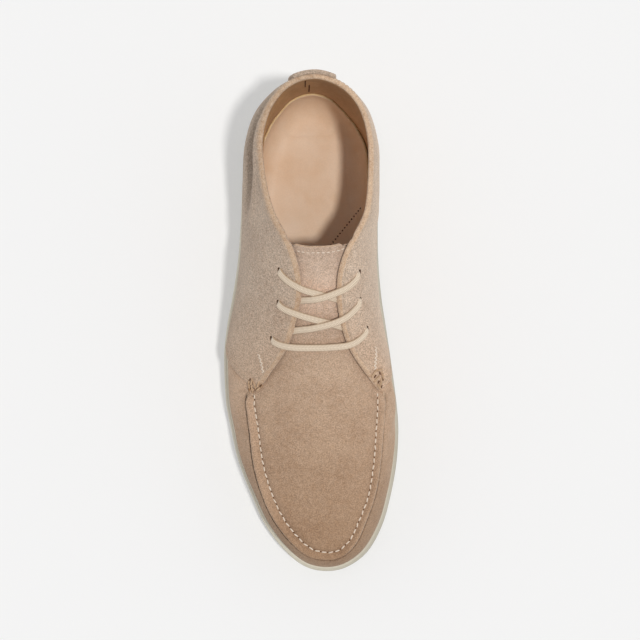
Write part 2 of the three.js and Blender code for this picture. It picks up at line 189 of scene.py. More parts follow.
@dataclass
class Last:
    """The shoe's form, from its driving sizes and its sections; all lengths in mm."""

    length: float = 296.0
    ball_width: float = 106.3
    collar_height: float = 105.0
    instep_height: float = 111.0
    wall: float = 2.6
    gap: float = 0.3
    crown_half: float = 40.0
    crown_power: float = 2.2
    # at, lateral, medial (sole's outline), rim_at, rim_lateral, rim_medial (upper's top line),
    # height (None on the crown), slope (None on the crown), belly, lap: toe tip to heel back
    sections: Sequence[tuple] = (
        (0.000, 0.091, 0.091, 0.034, 0.095, 0.095, None, 62, 1.5, 0),
        (0.009, -0.032, 0.209, 0.042, -0.013, 0.179, None, 62, 1.5, 0),
        (0.040, -0.146, 0.324, 0.069, -0.107, 0.251, None, 60, 1.5, 0),
        (0.093, -0.262, 0.407, 0.113, -0.201, 0.305, None, 60, 1.8, 0),
        (0.157, -0.344, 0.458, 0.162, -0.265, 0.353, None, 60, 2.0, 0),
        (0.223, -0.415, 0.490, 0.223, -0.313, 0.381, None, 60, 2.2, 0),
        (0.287, -0.457, 0.500, 0.291, -0.334, 0.396, None, 60, 2.4, 0),
        (0.334, -0.483, 0.492, 0.364, -0.352, 0.406, None, 58, 2.4, 0),
        (0.365, -0.491, 0.482, 0.376, -0.294, 0.376, None, None, 2.2, 6),
        (0.402, -0.496, 0.468, 0.409, -0.231, 0.308, None, None, 2.0, 10),
        (0.449, -0.496, 0.449, 0.456, -0.142, 0.222, None, None, 2.0, 10),
        (0.503, -0.479, 0.426, 0.510, -0.088, 0.170, None, None, 2.0, 10),
        (0.551, -0.453, 0.405, 0.561, -0.059, 0.151, None, None, 2.0, 10),
        (0.598, -0.431, 0.391, 0.608, -0.071, 0.162, None, None, 2.0, 10),
        (0.645, -0.414, 0.383, 0.654, -0.113, 0.211, None, 50, 2.0, 3),
        (0.686, -0.406, 0.381, 0.682, -0.161, 0.262, 0.981, 58, 2.2, 0),
        (0.733, -0.398, 0.381, 0.726, -0.224, 0.318, 0.914, 68, 2.6, 0),
        (0.794, -0.391, 0.383, 0.794, -0.270, 0.337, 0.886, 77, 2.8, 0),
        (0.865, -0.376, 0.376, 0.867, -0.281, 0.333, 0.910, 82, 2.6, 0),
        (0.931, -0.317, 0.322, 0.929, -0.224, 0.277, 0.952, 84, 2.0, 0),
        (0.981, -0.179, 0.185, 0.969, -0.127, 0.169, 0.986, 86, 1.6, 0),
        (1.000, 0.007, 0.007, 0.985, 0.018, 0.018, 1.000, 86, 1.6, 0),
    )
    # at, ridge, height, drop: the instep's highest line and its fall crown_half mm to each side
    crowns: Sequence[tuple] = (
        (0.034, 0.095, 0.387, 12),
        (0.054, 0.089, 0.414, 12),
        (0.091, 0.079, 0.441, 12),
        (0.176, 0.075, 0.482, 12.5),
        (0.243, 0.070, 0.527, 14),
        (0.311, 0.065, 0.586, 16),
        (0.378, 0.061, 0.658, 19),
        (0.456, 0.056, 0.757, 22),
        (0.561, 0.051, 0.889, 26),
        (0.654, 0.048, 1.000, 30),
    )
    # at, tread, ledge, step, cup, pad_lateral, pad_medial: the sole, the footbed's cup, and the room
    # beside it, up to 2 mm more round the heel than the CAD insole has, for the padded lining
    underfoot: Sequence[tuple] = (
        (0.00, 8.5, 20.5, 4.5, 0.4, 0.6, 0.6),
        (0.09, 3.2, 17.0, 4.3, 0.4, 0.6, 0.6),
        (0.18, 0.0, 15.0, 4.2, 0.4, 0.6, 0.6),
        (0.38, 0.0, 14.0, 3.8, 1.0, 0.6, 0.6),
        (0.46, 3.0, 15.2, 3.4, 3.0, 0.6, 0.6),
        (0.56, 4.5, 17.6, 3.0, 6.0, 0.6, 0.6),
        (0.66, 2.6, 20.2, 2.6, 9.0, 0.8, 0.6),
        (0.70, 0.0, 21.2, 2.4, 11.0, 1.4, 0.6),
        (0.86, 0.0, 23.0, 2.2, 13.6, 4.8, 2.2),
        (0.91, 0.0, 23.5, 2.1, 14.3, 7.2, 5.2),
        (0.95, 0.0, 24.0, 2.0, 15.0, 7.6, 6.6),
        (1.00, 2.2, 24.6, 2.0, 16.0, 5.0, 5.0),
    )

    def __post_init__(self) -> None:
        """Works out the curves through the tables."""
        places = [self.along(row[0]) for row in self.crowns]
        self.ridge, self.ridge_height, self.drop = (
            column(places, [row[i] for row in self.crowns]) for i in (1, 2, 3)
        )
        places = [self.along(row[0]) for row in self.underfoot]
        self.tread, self.ledge, self.step, self.cup, *pads = (
            column(places, [row[i] for row in self.underfoot]) for i in (1, 2, 3, 4, 5, 6)
        )
        self.pad_lateral, self.pad_medial = pads
        self.heel = len(self.sections) - 1
        self.turns = 2 * self.heel
        rows = [
            (self.sections[k if k <= self.heel else self.turns - k], 0 if k <= self.heel else 1)
            for k in range(self.turns)
        ]
        self.outline_x = loop_curve([self.across(r[1 + side]) for r, side in rows])
        self.outline_y = loop_curve([self.along(r[0]) for r, _ in rows])
        self.rim_x = loop_curve([self.across(r[4 + side]) for r, side in rows])
        self.rim_y = loop_curve([self.along(r[3]) for r, _ in rows])
        self.rim_z = loop_curve([self._rim_height(r, side) for r, side in rows])
        self.slope = loop_curve([self._slope(r, side) for r, side in rows])
        self.belly = loop_curve([r[8] for r, _ in rows])
        self.lap = loop_curve([r[9] for r, _ in rows])

    def along(self, share: float) -> float:
        """Returns the place along the shoe of a share of its length from the toe."""
        return (share - 0.5) * self.length

    def across(self, share: float) -> float:
        """Returns the place across the shoe of a share of its ball width."""
        return share * self.ball_width

    def _rim_height(self, row: tuple, side: int) -> float:
        """Works out the top line's height at a section.

        Args:
            row: The section.
            side: 0 on the lateral side and 1 on the medial one.

        Returns:
            The height: from the collar's where the row has one, else from the crown.
        """
        if row[6] is not None:
            return row[6] * self.collar_height
        return float(self.crown(self.across(row[4 + side]), self.along(row[3])))

    def _slope(self, row: tuple, side: int) -> float:
        """Works out the wall's angle where it reaches its lap or its top line.

        Args:
            row: The section.
            side: 0 on the lateral side and 1 on the medial one.

        Returns:
            The angle from level, in degrees.
        """
        if row[7] is not None:
            return row[7]
        out = 1 if side else -1
        x, y = self.across(row[4 + side]) + out * row[9], self.along(row[3])
        fall = self.crown(x - out * 0.5, y) - self.crown(x + out * 0.5, y)
        return math.degrees(math.atan(float(fall)))

    def crown(self, x: Array, y: Array) -> Array:
        """Works out the height of the instep's surface.

        Args:
            x: Places across the shoe.
            y: Places along it.

        Returns:
            The height over each point.
        """
        y = np.asarray(y, float)
        off = np.abs(x - self.ball_width * self.ridge(y)) / self.crown_half
        return self.instep_height * self.ridge_height(y) - self.drop(y) * off**self.crown_power

    def crown_normal(self, x: Array, y: Array) -> Array:
        """Works out the way up from the instep's surface.

        Args:
            x: Places across the shoe.
            y: Places along it.

        Returns:
            The direction over each point.
        """
        d = 0.5
        slope_x = (self.crown(x + d, y) - self.crown(x - d, y)) / (2 * d)
        slope_y = (self.crown(x, y + d) - self.crown(x, y - d)) / (2 * d)
        return unit(np.stack([-slope_x, -slope_y, np.ones_like(slope_x)], -1))

    def inward(self, u: Array) -> Array:
        """Works out the level ways into the shoe from its outline.

        Args:
            u: Places round the loop.

        Returns:
            The directions.
        """
        d = 0.05
        tangent_x = self.outline_x(u + d) - self.outline_x(u - d)
        tangent_y = self.outline_y(u + d) - self.outline_y(u - d)
        return unit(np.stack([tangent_y, -tangent_x, np.zeros_like(tangent_x)], -1))

    def on_outline(self, u: Array, inset: Array, height: Array) -> Array:
        """Points of the sole's outline, moved in.

        Args:
            u: Places round the loop.
            inset: How far each point is moved in.
            height: Each point's height.

        Returns:
            The points.
        """
        y = self.outline_y(u)
        points = np.stack([self.outline_x(u), y, np.zeros_like(y)], -1)
        points = points + self.inward(u) * np.asarray(inset)[..., None]
        points[..., 2] = height
        return points

    def rim(self, u: Array) -> Array:
        """Returns points of the upper's top line."""
        return np.stack([self.rim_x(u), self.rim_y(u), self.rim_z(u)], -1)

    def surface(self, u: Array, s: Array) -> Array:
        """Points of the upper's outer surface.

        Args:
            u: Places round the loop.
            s: Shares of the way up from the sole's ledge to the top line.

        Returns:
            The points, in the shape of u.
        """
        u, s = np.broadcast_arrays(np.asarray(u, float), np.asarray(s, float))
        shape = u.shape
        u, s = u.ravel(), s.ravel()
        outline_y = self.outline_y(u)
        foot = self.on_outline(u, self.step(outline_y), self.ledge(outline_y) + self.gap)
        rim, inner = self.rim(u), self.inward(u)
        lap = np.maximum(self.lap(u), 0)

        def on_crown(back: Array) -> Array:
            """Lays points on the crown outside the top line.

            Args:
                back: How far from the top line each point lies.

            Returns:
                The points.
            """
            p = rim - inner * back[:, None]
            p[:, 2] = rim[:, 2] + self.crown(p[:, 0], p[:, 1]) - self.crown(rim[:, 0], rim[:, 1])
            return p

        # A cubic runs from the sole's ledge to the knee, where the wall meets its lap on the crown or
        # its top line; the points then lie at even shares of the whole way.
        knee = on_crown(lap)
        tilt = np.radians(self.slope(u))
        plan = np.hypot(knee[:, 0] - foot[:, 0], knee[:, 1] - foot[:, 1])
        reach = np.minimum(np.linalg.norm(knee - foot, axis=1) * 0.32, 0.7 * plan / np.cos(tilt))
        low = foot - inner * (1.8 * self.belly(u))[:, None]
        low[:, 2] += (knee[:, 2] - foot[:, 2]) * 0.4
        high = knee - inner * (reach * np.cos(tilt))[:, None]
        high[:, 2] -= reach * np.sin(tilt)
        t = np.linspace(0, 1, 33)[:, None, None]
        curve = (1 - t) ** 3 * foot + 3 * (1 - t) ** 2 * t * low + 3 * (1 - t) * t * t * high + t**3 * knee
        tail = np.stack([on_crown(lap * (1 - i / 6)) for i in range(1, 7)])
        points = np.concatenate([curve, tail])
        run = np.zeros(points.shape[:2])
        run[1:] = np.cumsum(np.linalg.norm(np.diff(points, axis=0), axis=2), axis=0)
        want = run[-1] * np.clip(s, 0, 1)
        i = np.clip((run < want).sum(0), 1, len(run) - 1)
        k = np.arange(len(u))
        t = ((want - run[i - 1, k]) / np.maximum(run[i, k] - run[i - 1, k], 1e-9))[:, None]
        return (points[i - 1, k] * (1 - t) + points[i, k] * t).reshape(*shape, 3)

    def pad(self, u: Array) -> Array:
        """Returns the room between the footbed's rim and the upper, in mm."""
        y = self.outline_y(u)
        return np.where(np.asarray(u) < self.heel, self.pad_lateral(y), self.pad_medial(y))

    def wall_length(self, u: Array) -> Array:
        """Returns the upper's height along its own surface, in mm."""
        points = self.surface(np.asarray(u)[None], np.linspace(0, 1, 25)[:, None])
        return np.linalg.norm(np.diff(points, axis=0), axis=2).sum(0)

    def rows_up(self, u: Array, count: int, close: Sequence[float]) -> Array:
        """Rows of places up the wall, even at first and then at set distances from the top.

        Args:
            u: Places round the loop.
            count: The number of even rows.
            close: Falling distances in mm from the top line.

        Returns:
            Shares of the wall's height, one row of them for each row of places.
        """
        length = self.wall_length(u)
        even = np.linspace(0, 1, count + 1)[:-1, None] * (1 - close[0] / length)
        return np.concatenate([even, 1 - np.array(close)[:, None] / length])

    def facing(self, u: Array, s: Array) -> Array:
        """Works out the ways out from the upper's surface.

        Args:
            u: Places round the loop.
            s: Shares of the way up from the sole's ledge to the top line.

        Returns:
            The directions.
        """
        u, s = np.broadcast_arrays(np.asarray(u, float), np.asarray(s, float))
        du, ds = 0.02, 0.012
        up = self.surface(u, np.minimum(s + ds, 1)) - self.surface(u, np.maximum(s - ds, 0))
        on = self.surface(u + du, s) - self.surface(u - du, s)
        return unit(np.cross(up, on))


# ---- meshes --------------------------------------------------------------------------------


@dataclass
class Workshop:
    """Turns points in the last's millimetres into Blender pieces that ride on the frame."""

    last: Last
    # where the last's origin lies in the frame, in mm
    shift: Array = field(default_factory=lambda: np.zeros(3))

    def piece(
        self,
        name: str,
        points: Array,
        faces: Sequence[Sequence[int]],
        materials: Sequence[bpy.types.Material],
        slots: Array | None = None,
        slot: str = "suede",
        replaces: Sequence[str] = (),
        marks: dict[str, Array] | None = None,
    ) -> bpy.types.Object:
        """Makes one piece of the shoe.

        Args:
            name: The piece's name.
            points: Its points in mm.
            faces: Its faces, as point numbers.
            materials: Its materials.
            slots: Each face's material number, or None where all have the first.
            slot: Not used.
            replaces: The CAD nodes that it stands for.
            marks: Named values for each point, which materials read.

        Returns:
            The Blender object.
        """
        mesh = bpy.data.meshes.new(name)
        mesh.from_pydata(((points + self.shift) * MM).tolist(), [], [list(f) for f in faces])
        for material in materials:
            mesh.materials.append(material)
        if slots is not None:
            mesh.polygons.foreach_set("material_index", np.asarray(slots, np.int32))
        mesh.polygons.foreach_set("use_smooth", np.ones(len(mesh.polygons), bool))
        for label, values in (marks or {}).items():
            data = mesh.attributes.new(label, "FLOAT", "POINT").data
            data.foreach_set("value", np.asarray(values, np.float32))
        mesh.validate()
        mesh.update()
        thing = bpy.data.objects.new(name, mesh)
        bpy.context.scene.collection.objects.link(thing)
        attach(thing, "root")
        if replaces:
            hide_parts(*replaces)
        LOG.info("%s: %d points, %d faces", name, len(mesh.vertices), len(mesh.polygons))
        return thing

    def sewn(self, name: str, threads: Threads, finish: bpy.types.Material, slot: str = "suede") -> None:
        """Makes one piece of all the beads in threads."""
        shell, faces = threads.mesh()
        self.piece(name, shell, faces, [finish], slot=slot)

    def cut(self, thing: bpy.types.Object, cutters: Sequence[bpy.types.Object]) -> None:
        """Cuts closed shapes out of a piece and deletes them.

        Args:
            thing: The piece to cut.
            cutters: The closed shapes.
        """
        for cutter in cutters:
            tool = thing.modifiers.new("cut", "BOOLEAN")
            tool.object, tool.operation, tool.solver = cutter, "DIFFERENCE", "EXACT"
            tool.material_mode = "TRANSFER"
        graph = bpy.context.evaluated_depsgraph_get()
        graph.update()
        mesh = bpy.data.meshes.new_from_object(thing.evaluated_get(graph))
        thing.modifiers.clear()
        old, thing.data = thing.data, mesh
        bpy.data.meshes.remove(old)
        for cutter in cutters:
            bpy.data.objects.remove(cutter)


def grid_faces(rows: int, columns: int, closed: bool = False, flip: bool = False) -> Array:
    """Quads of a grid of points.

    Args:
        rows: The number of rows.
        columns: The number of points a row.
        closed: Whether the last column joins the first.
        flip: Whether the quads face the other way.

    Returns:
        The quads, as point numbers.
    """
    r = np.arange(rows - 1)[:, None] * columns
    c = np.arange(columns if closed else columns - 1)[None]
    n = (c + 1) % columns
    quads = np.stack([r + c, r + columns + c, r + columns + n, r + n], -1).reshape(-1, 4)
    return quads[:, ::-1] if flip else quads


@dataclass
class Hide:
    """A panel of leather cut from a surface: its grid of points, with a rounded cut edge."""

    points: Array
    normals: Array
    thickness: Array | float
    lift: Array | float = 0.0
    edge_round: float = 0.3

    def loop(self) -> Array:
        """Walks round the grid's edge.

        Returns:
            The numbers of its points.
        """
        rows, columns = self.points.shape[:2]
        index = np.arange(rows * columns).reshape(rows, columns)
        return np.r_[index[0, :-1], index[:-1, -1], index[-1, :0:-1], index[:0:-1, 0]]

    def spread(self, values: Array) -> Array:
        """Hands values of the grid's points on to the whole shell.

        Args:
            values: One for each point of the grid, or one for all.

        Returns:
            One for each point of the shell.
        """
        flat = np.broadcast_to(values, self.points.shape[:2]).ravel()
        edge = flat[self.loop()]
        return np.concatenate([flat, flat, edge, edge, edge])

    def shell(self) -> tuple[Array, Array, Array]:
        """Works out the closed panel.

        Returns:
            Its points, its quads and each quad's side: 0 for the face, 1 the cut edge, 2 the back.
        """
        rows, columns = self.points.shape[:2]
        lift = np.broadcast_to(self.lift, (rows, columns))[..., None]
        top = self.points + self.normals * lift
        thick = np.broadcast_to(self.thickness, (rows, columns))[..., None]
        bottom = top - self.normals * thick
        down = unit(self.points[1] - self.points[0])
        up = unit(self.points[-1] - self.points[-2])
        start = unit(self.points[:, 1] - self.points[:, 0])
        end = unit(self.points[:, -1] - self.points[:, -2])
        loop = self.loop()
        away = np.zeros((rows, columns, 3))
        away[0] -= down
        away[-1] += up
        away[:, 0] -= start
        away[:, -1] += end
        away = unit(away).reshape(-1, 3)[loop]
        normal = self.normals.reshape(-1, 3)[loop]
        edge = top.reshape(-1, 3)[loop]
        deep = thick.reshape(-1, 1)[loop]
        rings = [
            edge + away * self.edge_round * deep * bulge - normal * deep * share
            for share, bulge in ((0.15, 0.7), (0.5, 1.0), (0.85, 0.7))
        ]
        count, size = rows * columns, len(loop)
        points = np.concatenate([top.reshape(-1, 3), bottom.reshape(-1, 3), *rings])
        faces = [grid_faces(rows, columns), grid_faces(rows, columns, flip=True) + count]
        sides = [np.zeros(len(faces[0]), int), np.full(len(faces[1]), 2)]
        chain = [loop, *(2 * count + size * k + np.arange(size) for k in range(3)), loop + count]
        for a, b in zip(chain, chain[1:]):
            faces.append(np.stack([a, np.roll(a, -1), np.roll(b, -1), b], -1))
            sides.append(np.ones(size, int))
        return points, np.concatenate(faces), np.concatenate(sides)


@dataclass
class Threads:
    """Many small closed beads as one mesh: stitches, and the needle holes beside them."""

    length: float
    width: float
    height: float
    around: int = 8
    rings: int = 6
    # power of the ends' roundness: 1 is an ellipsoid and 0 a square-ended rod
    blunt: float = 0.6
    centres: list[Array] = field(default_factory=list)
    frames: list[Array] = field(default_factory=list)

    def sew(self, centres: Array, along: Array, up: Array) -> None:
        """Adds beads.

        Args:
            centres: Their middles.
            along: The ways they lie.
            up: The ways up from the leather.
        """
        along = unit(along)
        side = unit(np.cross(up, along))
        up = np.cross(along, side)
        self.centres.append(centres)
        self.frames.append(np.stack([along, side, up], -2))

    def run(
        self,
        points: Array,
        normals: Array,
        pitch: float,
        start: float = 0.0,
        slants: Sequence[float] = (0.0,),
    ) -> None:
        """Adds beads at a pitch along a line.

        Args:
            points: The line's points.
            normals: The ways up from the leather at them.
            pitch: The distance between two beads.
            start: The first bead's distance from the line's start.
            slants: The beads' angles to the line in degrees, taken in turn.
        """
        places = spaced(points, pitch, start)
        number = np.arange(len(points))

        def at(values: Array, where: Array) -> Array:
            """Returns values between the line's points."""
            return np.stack([np.interp(where, number, c) for c in values.T], -1)

        ahead = unit(at(points, places + 0.5) - at(points, places - 0.5))
        up = at(normals, places)
        turn = np.radians(np.resize(slants, len(places)))[:, None]
        side = unit(np.cross(up, ahead))
        self.sew(at(points, places), ahead * np.cos(turn) + side * np.sin(turn), up)

    def mesh(self) -> tuple[Array, Array]:
        """Works out every bead: a short rod with blunt ends.

        Returns:
            The points and the faces.
        """
        turn = np.linspace(0, 2 * math.pi, self.around, endpoint=False)
        lean = np.linspace(0, math.pi, self.rings + 1)[1:-1]
        girth = np.sin(lean)[:, None] ** self.blunt
        body = np.stack(
            [np.cos(lean)[:, None] + 0 * turn, girth * np.cos(turn), girth * np.sin(turn)], -1
        ).reshape(-1, 3)
        body = np.array([*body, [1, 0, 0], [-1, 0, 0]]) * [self.length, self.width, self.height] / 2
        count = len(body)
        quads = grid_faces(len(lean), self.around, closed=True)
        first, last = count - 2, count - 1
        n = np.roll(np.arange(self.around), -1)
        tail = (len(lean) - 1) * self.around
        caps = [(first, i, j) for i, j in zip(range(self.around), n)]
        caps += [(last, tail + j, tail + i) for i, j in zip(range(self.around), n)]
        centres = np.concatenate(self.centres)
        frames = np.concatenate(self.frames)
        points = (centres[:, None] + np.einsum("pk,nkj->npj", body, frames)).reshape(-1, 3)
        faces = []
        for k in range(len(centres)):
            faces += (quads + k * count).tolist()
            faces += [tuple(v + k * count for v in cap) for cap in caps]
        return points, faces


# ---- finishes ------------------------------------------------------------------------------


def linear(colour: str) -> tuple[float, float, float, float]:
    """Returns an sRGB hex colour as linear light."""
    parts = [int(colour[i : i + 2], 16) / 255 for i in (1, 3, 5)]
    return (*(c / 12.92 if c <= 0.04045 else ((c + 0.055) / 1.055) ** 2.4 for c in parts), 1.0)


def add_node(
    tree: bpy.types.NodeTree, kind: str, settings: dict | None = None, **inputs: Value
) -> bpy.types.Node:
    """Adds a node with its settings and links.

    Args:
        tree: The node tree.
        kind: The node's type.
        settings: Attributes of the node.
        inputs: Values or sockets for its inputs, by name with _ for a space, or by number as n0.

    Returns:
        The node.
    """
    node = tree.nodes.new(kind)
    for key, value in (settings or {}).items():
        setattr(node, key, value)
    for key, value in inputs.items():
        number = key[1:].isdigit() and key[0] == "n"
        socket = node.inputs[int(key[1:])] if number else node.inputs[key.replace("_", " ")]
        if isinstance(value, Socket):
            tree.links.new(value, socket)
        else:
            socket.default_value = value
    return node


@dataclass(frozen=True)
class Finish:
    """A material with a mottled colour, a fine grain and a bump, all scaled in mm.

    Colours go from shade to light by two noises: clouds, as the hide or batch varies, and a
    finer brush mark. grain darkens single fibres or pores, and bump stands them up. A piece's
    "shade" values, where it has them, darken it from 0 to 1 and lighten it below 0.
    """

    name: str
    base: str
    shade: str
    light: str
    cloud_mm: float = 25.0
    brush_mm: float = 4.0
    grain_mm: float = 0.6
    brush: float = 0.5
    grain: float = 0.25
    bump: float = 0.4
    bump_mm: float = 0.25
    roughness: float = 0.9
    sheen: float = 0.0
    sheen_tint: str = "#ffffff"
    ior: float = 1.5
    specular: float = 0.5
    # tints along the shoe, from toe to heel: place in mm and colour; on the vamp they are painted shade that
    # darkens it towards the toe
    tint_and_shade_along: Sequence[tuple[float, str]] = ()

    def make(self) -> bpy.types.Material:
        """Builds the material's nodes.

        Returns:
            The Blender material.
        """
        material = bpy.data.materials.new(self.name)
        material.use_nodes = True
        tree = material.node_tree
        tree.nodes.clear()
        place = add_node(tree, "ShaderNodeTexCoord").outputs["Object"]

        sizes = ((self.cloud_mm, 2), (self.brush_mm, 3), (self.grain_mm, 4))
        clouds, strokes, fibres = (
            add_node(tree, "ShaderNodeTexNoise", Vector=place, Scale=1 / (size * MM), Detail=detail)
            for size, detail in sizes
        )
        # Each noise is stretched to its full range, and the fibres' from their darkest up to 1.
        stretches = ((clouds, 0.3, 0.7, 0), (strokes, 0.3, 0.7, 0), (fibres, 0.35, 0.65, 1 - self.grain))
        cloudy, brushed, dark = (
            add_node(
                tree, "ShaderNodeMapRange", n0=noisy.outputs[0], From_Min=low, From_Max=high, To_Min=least
            ).outputs[0]
            for noisy, low, high, least in stretches
        )
        weight = add_node(tree, "ShaderNodeMath", {"operation": "MULTIPLY"}, n0=brushed, n1=self.brush)
        marks = add_node(tree, "ShaderNodeAttribute", {"attribute_name": "shade"}).outputs["Fac"]
        light = add_node(tree, "ShaderNodeMath", {"operation": "SUBTRACT"}, n0=1.0, n1=marks)
        layers = [
            ("MIX", cloudy, linear(self.base)),
            ("MIX", weight.outputs[0], linear(self.light)),
            ("MULTIPLY", 1.0, dark),
            ("MULTIPLY", 1.0, light.outputs[0]),
        ]
        # Tints along the shoe, and on the vamp painted shade that darkens it towards the toe.
        if self.tint_and_shade_along:
            y = add_node(tree, "ShaderNodeSeparateXYZ", n0=place).outputs[1]
            start, end = self.tint_and_shade_along[0][0], self.tint_and_shade_along[-1][0]
            share = add_node(tree, "ShaderNodeMapRange", n0=y, From_Min=start * MM, From_Max=end * MM)
            ramp = add_node(tree, "ShaderNodeValToRGB", n0=share.outputs[0])
            stops = ramp.color_ramp.elements
            for _ in self.tint_and_shade_along[2:]:
                stops.new(0.5)
            for stop, (at, tint) in zip(stops, self.tint_and_shade_along):
                stop.position, stop.color = (at - start) / (end - start), linear(tint)
            layers.append(("MULTIPLY", 1.0, ramp.outputs[0]))
        colour = linear(self.shade)
        for kind, share, tint in layers:
            settings = {"data_type": "RGBA", "blend_type": kind}
            colour = add_node(tree, "ShaderNodeMix", settings, n0=share, n6=colour, n7=tint).outputs[2]
        relief = {"Strength": self.bump, "Distance": self.bump_mm * MM, "Height": fibres.outputs[0]}
        normal = add_node(tree, "ShaderNodeBump", **relief).outputs[0]
        shader = add_node(
            tree,
            "ShaderNodeBsdfPrincipled",
            Base_Color=colour,
            Roughness=self.roughness,
            IOR=self.ior,
            Specular_IOR_Level=self.specular,
            Sheen_Weight=self.sheen,
            Sheen_Roughness=0.45,
            Sheen_Tint=linear(self.sheen_tint),
            Normal=normal,
        )
        add_node(tree, "ShaderNodeOutputMaterial", Surface=shader.outputs[0])
        return material


@dataclass(frozen=True)
class Weave:
    """Flat woven cotton lace: mercerised threads in a herringbone, drawn at their true 0.8 mm repeat."""

    name: str = "woven_cotton"
    base: str = "#ffefd9"
    shade: str = "#b2977a"
    repeat_mm: float = 0.8
    # how far the threads slant, and the ribs along the lace for each repeat
    slant: float = 0.35
    ribs: float = 1.3
    # where the painted shade on the edges begins and ends, from the lace's middle, and how dark it is
    edge_from_mm: float = 1.7
    edge_to_mm: float = 2.2
    edge_shade: float = 0.9

    def make(self) -> bpy.types.Material:
        """Builds the material's nodes.

        Returns:
            The Blender material, which reads the lace's own run and width in mm.
        """
        material = bpy.data.materials.new(self.name)
        material.use_nodes = True
        tree = material.node_tree
        tree.nodes.clear()
        values = {
            name: add_node(tree, "ShaderNodeAttribute", {"attribute_name": name}).outputs["Fac"]
            for name in ("run", "width")
        }
        turn = 2 * math.pi / self.repeat_mm
        # name, operation, its two values: slanting threads, mirrored at the middle, and ribs
        sums = (
            ("fold", "ABSOLUTE", "width", 0.0),
            ("lean", "MULTIPLY", "fold", self.slant),
            ("path", "ADD", "run", "lean"),
            ("path turns", "MULTIPLY", "path", turn),
            ("threads", "SINE", "path turns", 0.0),
            ("rib turns", "MULTIPLY", "fold", turn * self.ribs),
            ("ribs", "SINE", "rib turns", 0.0),
            ("both", "ADD", "threads", "ribs"),
            ("quarter", "MULTIPLY", "both", 0.25),
            ("woven", "ADD", "quarter", 0.5),
        )
        for name, operation, one, two in sums:
            settings = {"operation": operation}
            inputs = {"n0": values.get(one, one), "n1": values.get(two, two)}
            values[name] = add_node(tree, "ShaderNodeMath", settings, **inputs).outputs[0]
        # Painted shade darkens the lace along its edges.
        edges = {"From_Min": self.edge_from_mm, "From_Max": self.edge_to_mm, "To_Max": self.edge_shade}
        edge = add_node(tree, "ShaderNodeMapRange", n0=values["fold"], **edges)
        inputs = {"n0": values["woven"], "n1": edge.outputs[0]}
        thread = add_node(tree, "ShaderNodeMath", {"operation": "SUBTRACT"}, **inputs).outputs[0]
        colours = {"n6": linear(self.shade), "n7": linear(self.base)}
        mix = add_node(tree, "ShaderNodeMix", {"data_type": "RGBA"}, n0=thread, **colours)
        normal = add_node(tree, "ShaderNodeBump", Strength=0.6, Distance=0.2 * MM, Height=thread).outputs[0]
        shader = add_node(
            tree,
            "ShaderNodeBsdfPrincipled",
            Base_Color=mix.outputs[2],
            Roughness=0.85,
            Sheen_Weight=0.2,
            Normal=normal,
        )
        add_node(tree, "ShaderNodeOutputMaterial", Surface=shader.outputs[0])
        return material


